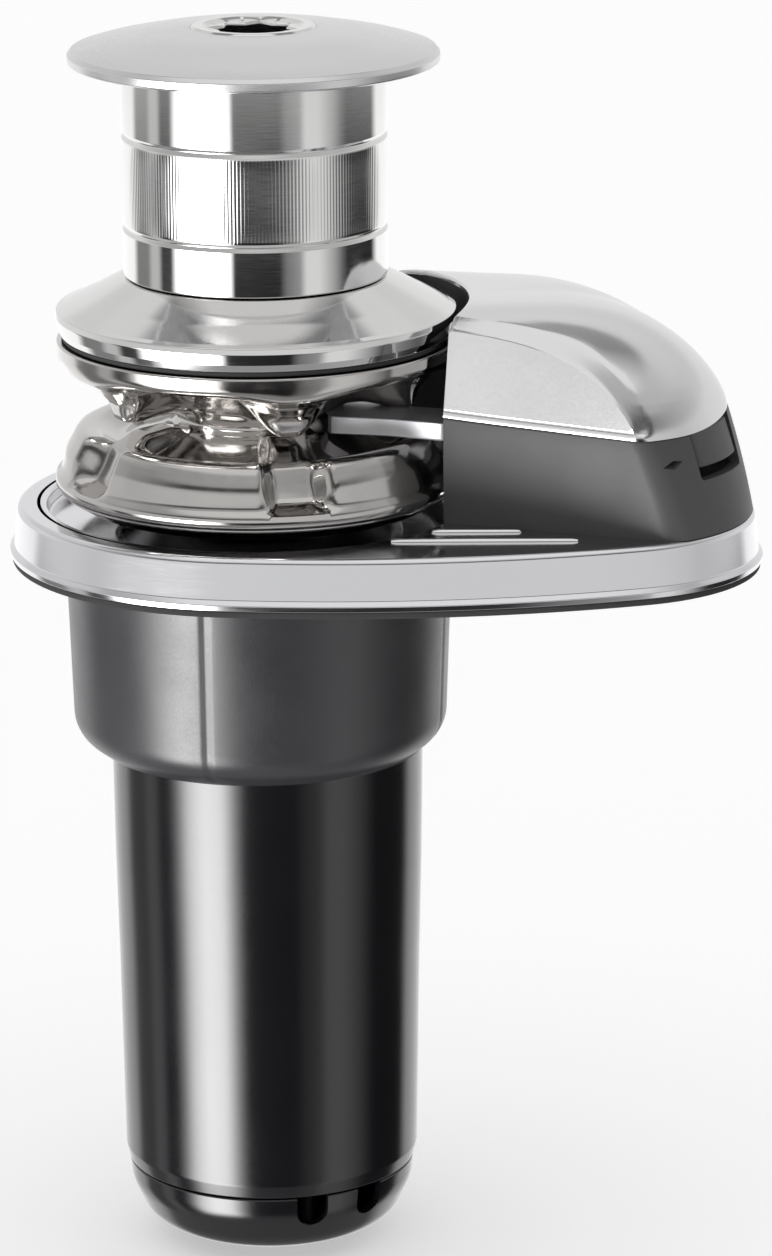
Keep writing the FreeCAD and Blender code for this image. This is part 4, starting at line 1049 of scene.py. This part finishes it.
@dataclass
class Drum:
    """Rope drum on its broad cone, with the cap and the handle socket above."""

    radius: float = 37.6
    bottom: float = 82.6
    top: float = 142.2
    grooves: tuple[float, float] = (96.9, 123.3)
    ribs: int = 230
    rib_depth: float = 0.06
    cone_radius: float = 57.3
    cap_radius: float = 52.5
    socket: float = 17.7
    star_half: float = 8.75

    def cone(self) -> None:
        """Cone: polished rim with a narrow step, long slightly hollow slope, and a foot under the drum."""
        path = rounded([(11.2, 57.5, 0), (16, 50.0, 0), (40, 65.7, 0), (40, 66.0, 0),
                        (self.cone_radius - 1.4, 66.0, 0.6),
                        (self.cone_radius - 0.6, 68.2, 0.6), (self.cone_radius, 71.2, 1.2),
                        (self.cone_radius - 0.3, 72.9, 0.5), (self.cone_radius - 2.2, 73.6, 0.6),
                        (47.5, 77.3, 40.0), (self.radius + 0.7, 82.3, 0.4), (self.radius - 1.0, 82.6, 0.2),
                        (11.2, 82.6, 0)])
        shape = lathe("clutch_cone_polished", path, 192, sharp=35)
        place(shape, "output_shaft", "mirror_stainless", POLISHED, "clutch_cone_flange")
        ring = rounded([(43.2, 64.7, 0.2), (55.6, 64.7, 0.3), (55.6, 65.95, 0.3), (43.2, 65.95, 0.2)])
        seal = lathe("cone_seal_ring", ring, 128)
        place(seal, "output_shaft", "rubber", RUBBER, "cone_seal")

    def barrel(self) -> None:
        """Barrel: radius less a cosine rib of the angle inside the band between the grooves."""
        radius, low, high = self.radius, self.grooves[0], self.grooves[1]
        groove = [[(radius, z - 1.1, 0.3), (radius - 0.7, z, 0.35), (radius, z + 1.1, 0.3)]
                  for z in self.grooves]
        foot = [(radius - 0.6, self.bottom, 0), (radius, self.bottom + 0.6, 0.5)]
        head = [(radius, self.top - 0.6, 0.5), (radius - 0.6, self.top, 0)]
        outside = rounded(foot + groove[0] + groove[1] + head, closed=False)
        band = np.linspace(low + 1.9, high - 1.9, 8)
        outside = np.concatenate((outside, np.column_stack((np.full(8, radius), band))))
        outside = outside[np.argsort(outside[:, 1], kind="stable")]
        inside = np.array([(31.6, self.top), (31.6, 90.0), (18.0, 90.0), (18.0, 116.9), (11.2, 116.9),
                           (11.2, self.bottom)])
        path = np.concatenate((outside, inside))
        angle = full_turn(self.ribs * 4)
        level = path[:, 1:2]
        ribbed = smooth(level, low + 1.2, low + 2.4) * smooth(level, high - 1.2, high - 2.4)
        ribbed = ribbed * (path[:, :1] > 36)
        reach = path[:, :1] - self.rib_depth * ribbed * (0.5 + 0.5 * np.cos(self.ribs * angle))
        shape = Solid("rope_drum").grid(about(reach, angle, level)).build(sharp=50)
        place(shape, "output_shaft", "satin_stainless", DRUM_STEEL, "drum")

    def cap(self) -> None:
        """Cap: shallow brushed dome, bevel at the rim, turned underside and threaded boss."""
        edge = self.cap_radius
        path = rounded([(10.2, 119.6, 0.3), (22, 119.6, 0.5), (22, 142.6, 0), (35.5, 142.6, 1.0),
                        (38.5, 143.9, 2.0),
                        (50.2, 143.6, 0.6), (51.3, 142.9, 0.4), (edge, 143.5, 0.5), (edge, 145.7, 0.5),
                        (51.5, 146.9, 0.5), (46.0, 148.6, 60.0), (30.0, 151.9, 80.0),
                        (self.socket + 0.05, 153.1, 0.2), (self.socket + 0.05, 139.5, 0), (10.2, 139.5, 0)])
        shape = lathe("drum_cap_dome", path, 192, sharp=35)
        place(shape, "clutch_cap", "satin_stainless", BRUSHED, "drum_cap")

    def star(self, angle: Array) -> Array:
        """Radius of an eight-point star: the farther of two squares, one turned by an eighth."""
        def square(turn: Array) -> Array:
            """Radius of a square."""
            return self.star_half / np.maximum(np.abs(np.cos(turn)), np.abs(np.sin(turn)))
        return np.maximum(square(angle), square(angle + np.pi / 4))

    def handle_socket(self) -> None:
        """Socket ring: raised round lip, sloping bowl down to a straight star hole with a floor."""
        angle = full_turn(256)
        outer = rounded([(0.0, 139.5, 0), (self.socket, 139.5, 0), (self.socket, 153.0, 0.2),
                         (16.9, 153.6, 0.5),
                         (14.6, 153.5, 0.4), (13.4, 152.6, 0.4)], closed=False)
        rows = [np.full((len(angle), 2), point) for point in outer]
        for add, level in ((0.7, 152.5), (0.25, 152.2), (0.0, 151.7), (0.0, 141.0)):
            rows.append(np.column_stack((self.star(angle) + add, np.full(len(angle), level))))
        rows.append(np.tile((0.0, 141.0), (len(angle), 1)))
        section = np.stack(rows)
        grid = about(section[..., 0], angle, section[..., 1])
        shape = Solid("handle_socket_ring").grid(grid, round_rows=False).build(sharp=35)
        place(shape, "clutch_cap", "mirror_stainless", POLISHED, "handle_socket")

    def build(self) -> None:
        """Builds everything above the gypsy."""
        self.cone()
        self.barrel()
        self.cap()
        self.handle_socket()


# ---------------------------------------------------------------- below the deck

@dataclass
class Gearmotor:
    """Cast gearbox housing, tapered motor cover and rounded end cap."""

    housing_top: float = 55.6
    housing_foot: float = 53.8
    housing_bottom: float = -56.0
    offset: float = 1.95
    tube_top: float = 45.1
    tube_foot: float = 43.0
    seam: float = -182.0
    bottom: float = -202.0
    grooves: tuple[float, ...] = (-97.5, -7.5, 82.5, 172.5)
    notches: tuple[float, ...] = (-65.0, -38.5)
    rods: tuple[tuple[float, float], ...] = ((10.0, 17.32), (-17.32, 10.0))

    def housing(self) -> None:
        """Housing: drafted barrel with a rounded foot and four shallow casting grooves down its side."""
        path = rounded([(24.0, 2.0, 0), (self.housing_top, 2.0, 0.3), (self.housing_foot, -50.5, 10.0),
                        (self.housing_foot - 7.6, self.housing_bottom, 1.0), (45.4, self.housing_bottom, 0.2),
                        (45.4, -50.0, 0), (48.5, -50.0, 0), (48.5, -12.0, 0), (24.0, -12.0, 0)], step=6)
        angle = full_turn(360)
        path = np.concatenate((path[:1], spread(path[1:-6], 60), path[-6:]))
        radius, level = path[:, :1], path[:, 1:2]
        offset = np.stack([np.abs((np.degrees(angle) - at + 180) % 360 - 180) for at in self.grooves]).min(0)
        groove = 0.45 * np.exp(-((offset / 0.9) ** 2)) * (radius > 49) * smooth(level, -1.0, -3.0)
        reach = radius - groove
        shift = self.offset * ((radius < 46) & (radius > 45))
        grid = about(reach, angle, level, (shift, 0.0))
        place(Solid("gearbox_housing_cast").grid(grid).build(sharp=50), "deck_unit", "grey_housing", HOUSING,
              "gearbox_housing")

    def tube(self) -> None:
        """Motor cover: long taper with a small rounded foot."""
        wall = 2.4
        path = rounded([(self.tube_top, -50.0, 0.3), (44.6, -90.0, 200), (43.9, -120.0, 200),
                        (self.tube_foot, -178.0, 4.0), (self.tube_foot - 0.9, self.seam, 0.4),
                        (self.tube_foot - wall, self.seam, 0.3),
                        (self.tube_top - wall, -50.0, 0.3)])
        place(lathe("motor_cover_coated", path, 192, (self.offset, 0.0)), "deck_unit",
              "black_cover", TUBE, "motor_cover_tube")

    def end_cap(self) -> None:
        """End cap: rounded cup with two cable notches in its upper edge."""
        path = rounded([(41.9, -182.5, 0.5), (41.4, -188.5, 14.0), (36.8, -198.6, 10.0),
                        (29.0, self.bottom, 8.0),
                        (0.0, self.bottom, 0), (0.0, self.bottom + 2.5, 0), (28.5, self.bottom + 2.5, 7.0),
                        (34.6, -196.9, 8.0), (39.3, -187.0, 8.0), (39.4, -182.5, 0.5)], step=6)
        shape = lathe("end_cap_coated", path, 192, (self.offset, 0.0))
        for turn in self.notches:
            facing = np.array([math.cos(math.radians(turn)), math.sin(math.radians(turn)), 0.0])
            middle = np.array([self.offset, 0.0, -184.0]) + 42.0 * facing
            cut(shape, slot_cutter("notch", middle, facing, 7.6, 4.65, 6.0, 4.6))
        drill = Solid("rod_holes")
        for spot in self.rods:
            drill.grid(turned(np.array([(2.6, -210.0), (2.6, -190.0)]), 24, spot), round_rows=False)
        cut(shape, drill.build(weighted=False))
        place(shape, "deck_unit", "black_cover", TUBE, "end_cap")

    def build(self) -> None:
        """Builds the gearmotor's outer shells."""
        self.housing()
        self.tube()
        self.end_cap()


# ---------------------------------------------------------------- floor, light and camera

@dataclass
class Studio:
    """Pale floor, soft studio light all round, and the camera.

    Light is given by azimuth from the camera's own direction, in degrees, positive to its right, as
    brightness for several bands of elevation.
    """

    camera_place: Corner = (36.455, -1574.051, 414.206)
    pitch: float = 15.506
    roll: float = -0.279
    swing: float = 7.5
    lens: float = 162.02
    floor_z: float = -206.0
    strongest: float = 16.0
    low_band: tuple[tuple[float, float], ...] = (
        (-180, 1.2), (-130, 1.2), (-122, 0.25), (-106, 0.25), (-100, 0.6), (-92, 0.6), (-87, 0.05),
        (-77, 0.06),
        (-70, 2.0), (-60, 9.0), (-48, 13.0), (-34, 12.0), (-24, 3.0), (-17, 0.03), (22, 0.02), (28, 0.2),
        (40, 0.35), (46, 0.85), (58, 0.85), (74, 0.42), (82, 0.15), (88, 0.02), (122, 0.02),
        (132, 1.2), (180, 1.2))
    middle_band: tuple[tuple[float, float], ...] = (
        (-180, 0.9), (-120, 0.85), (-80, 0.7), (-30, 0.8), (30, 0.8), (80, 0.65), (120, 0.85), (180, 0.9))
    upper_band: tuple[tuple[float, float], ...] = (
        (-180, 0.8), (-120, 0.7), (-80, 0.40), (-45, 0.10), (40, 0.08), (75, 0.40), (120, 0.7), (180, 0.8))

    flank_band: tuple[tuple[float, float], ...] = (
        (-180, 0.85), (-120, 0.75), (-75, 0.5), (-30, 0.55), (50, 0.55), (90, 0.6), (120, 0.75), (180, 0.85))
    overhead_band: tuple[tuple[float, float], ...] = (
        (-180, 0.42), (-125, 0.30), (-95, 0.6), (-70, 0.95), (70, 0.95), (95, 0.6), (125, 0.30), (180, 0.42))

    def ramp(self, tree: bpy.types.NodeTree, share: bpy.types.NodeSocket,
             band: Sequence[tuple[float, float]]) -> bpy.types.NodeSocket:
        """Brightness by azimuth.

        Args:
            tree: The world's nodes.
            share: Azimuth as a share of a full turn.
            band: Azimuth and brightness of each stop.

        Returns:
            The socket of the brightness, as a share of the strongest.
        """
        node = tree.nodes.new("ShaderNodeValToRGB")
        stops = node.color_ramp.elements
        while len(stops) < len(band):
            stops.new(0.5)
        for stop, (azimuth, bright) in zip(stops, band):
            stop.position = (azimuth + 180.0) / 360.0
        for stop, (azimuth, bright) in zip(stops, band):
            level = bright / self.strongest
            stop.color = (level, level, level, 1.0)
        tree.links.new(share, node.inputs["Fac"])
        return node.outputs["Color"]

    def light(self) -> None:
        """World light: the bands blended by elevation, and a plain pale backdrop for the camera."""
        world = bpy.data.worlds.new("studio")
        bpy.context.scene.world = world
        world.use_nodes = True
        tree = world.node_tree
        tree.nodes.clear()
        look = tree.nodes.new("ShaderNodeTexCoord").outputs["Generated"]
        mapping = tree.nodes.new("ShaderNodeMapping")
        mapping.inputs["Rotation"].default_value = (0.0, 0.0, -math.radians(self.swing))
        tree.links.new(look, mapping.inputs["Vector"])
        split = tree.nodes.new("ShaderNodeSeparateXYZ")
        tree.links.new(mapping.outputs["Vector"], split.inputs[0])
        toward = math_node(tree, "MULTIPLY", split.outputs["Y"], -1.0)
        azimuth = math_node(tree, "ARCTAN2", split.outputs["X"], toward)
        share = math_node(tree, "MULTIPLY_ADD", azimuth, 1 / (2 * math.pi), 0.5)
        elevation = math_node(tree, "MULTIPLY", math_node(tree, "ARCSINE", split.outputs["Z"]), 180 / math.pi)
        colour = self.ramp(tree, share, self.low_band)
        for band, low, high in ((self.middle_band, -11.5, -7.5), (self.upper_band, 15.0, 24.0),
                                (self.flank_band, 30.0, 38.0), (self.overhead_band, 46.0, 52.0),
                                (((-180, 0.95), (180, 0.95)), 66.0, 73.0),
                                (((-180, 0.35), (180, 0.35)), -38.0, -52.0)):
            mix = tree.nodes.new("ShaderNodeMix")
            mix.data_type = "RGBA"
            tree.links.new(ranged(tree, elevation, low, high, 0.0, 1.0), mix.inputs["Factor"])
            tree.links.new(colour, mix.inputs["A"])
            tree.links.new(self.ramp(tree, share, band), mix.inputs["B"])
            colour = mix.outputs["Result"]
        studio = tree.nodes.new("ShaderNodeBackground")
        studio.inputs["Strength"].default_value = self.strongest
        tree.links.new(colour, studio.inputs["Color"])
        backdrop = tree.nodes.new("ShaderNodeBackground")
        backdrop.inputs["Color"].default_value = (0.97, 0.97, 0.97, 1.0)
        choose = tree.nodes.new("ShaderNodeMixShader")
        path = tree.nodes.new("ShaderNodeLightPath")
        tree.links.new(path.outputs["Is Camera Ray"], choose.inputs["Fac"])
        tree.links.new(studio.outputs[0], choose.inputs[1])
        tree.links.new(backdrop.outputs[0], choose.inputs[2])
        output = tree.nodes.new("ShaderNodeOutputWorld")
        tree.links.new(choose.outputs[0], output.inputs["Surface"])

    def floor(self) -> None:
        """Plain pale floor just below the end cap, left out of reflections."""
        size = 4000.0
        corners = np.array([[(-size, -size, self.floor_z), (size, -size, self.floor_z)],
                            [(-size, size, self.floor_z), (size, size, self.floor_z)]])
        mesh = bpy.data.meshes.new("floor")
        mesh.from_pydata((corners.reshape(-1, 3) * MM).tolist(), [], [(0, 1, 3, 2)])
        ground = bpy.data.objects.new("floor", mesh)
        bpy.context.scene.collection.objects.link(ground)
        pale = bpy.data.materials.new("pale_floor")
        pale.use_nodes = True
        surface = pale.node_tree.nodes["Principled BSDF"]
        surface.inputs["Base Color"].default_value = (0.85, 0.85, 0.85, 1.0)
        surface.inputs["Roughness"].default_value = 0.9
        surface.inputs["Emission Color"].default_value = (1.0, 1.0, 1.0, 1.0)
        surface.inputs["Emission Strength"].default_value = 0.4
        mesh.materials.append(pale)
        ground.visible_glossy = False
        ground.visible_shadow = False

    def camera(self) -> None:
        """Camera on a long lens, turned about the shaft with the object's own axes."""
        lens = bpy.data.cameras.new("camera")
        lens.lens, lens.sensor_width = self.lens, 36.0
        lens.clip_start, lens.clip_end = 0.05, 30.0
        eye = bpy.data.objects.new("camera", lens)
        swing = Matrix.Rotation(math.radians(self.swing), 4, "Z")
        aim = Matrix.Rotation(math.radians(90.0 - self.pitch), 4, "X")
        aim = aim @ Matrix.Rotation(math.radians(self.roll), 4, "Z")
        eye.matrix_world = swing @ Matrix.Translation(Vector(self.camera_place) * MM) @ aim
        bpy.context.scene.collection.objects.link(eye)
        bpy.context.scene.camera = eye

    def build(self) -> None:
        """Sets up the floor, the light and the camera."""
        bpy.context.scene.view_settings.view_transform = "Standard"
        self.light()
        self.floor()
        self.camera()


def dress_nodes() -> None:
    """Gives every CAD node that stays its finish."""
    for finish, names in NODE_FINISHES.items():
        for name in names:
            finish.dress(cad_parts[name])


def main() -> None:
    """Builds the windlass piece by piece, then the studio round it."""
    logging.basicConfig(level=logging.INFO, format="%(message)s")
    hawse = Hawse()
    for part in (Base(), hawse, Cover(hawse), Gypsy(), Drum(), Gearmotor()):
        part.build()
    dress_nodes()
    Studio().build()


if __name__ == "__main__":
    main()
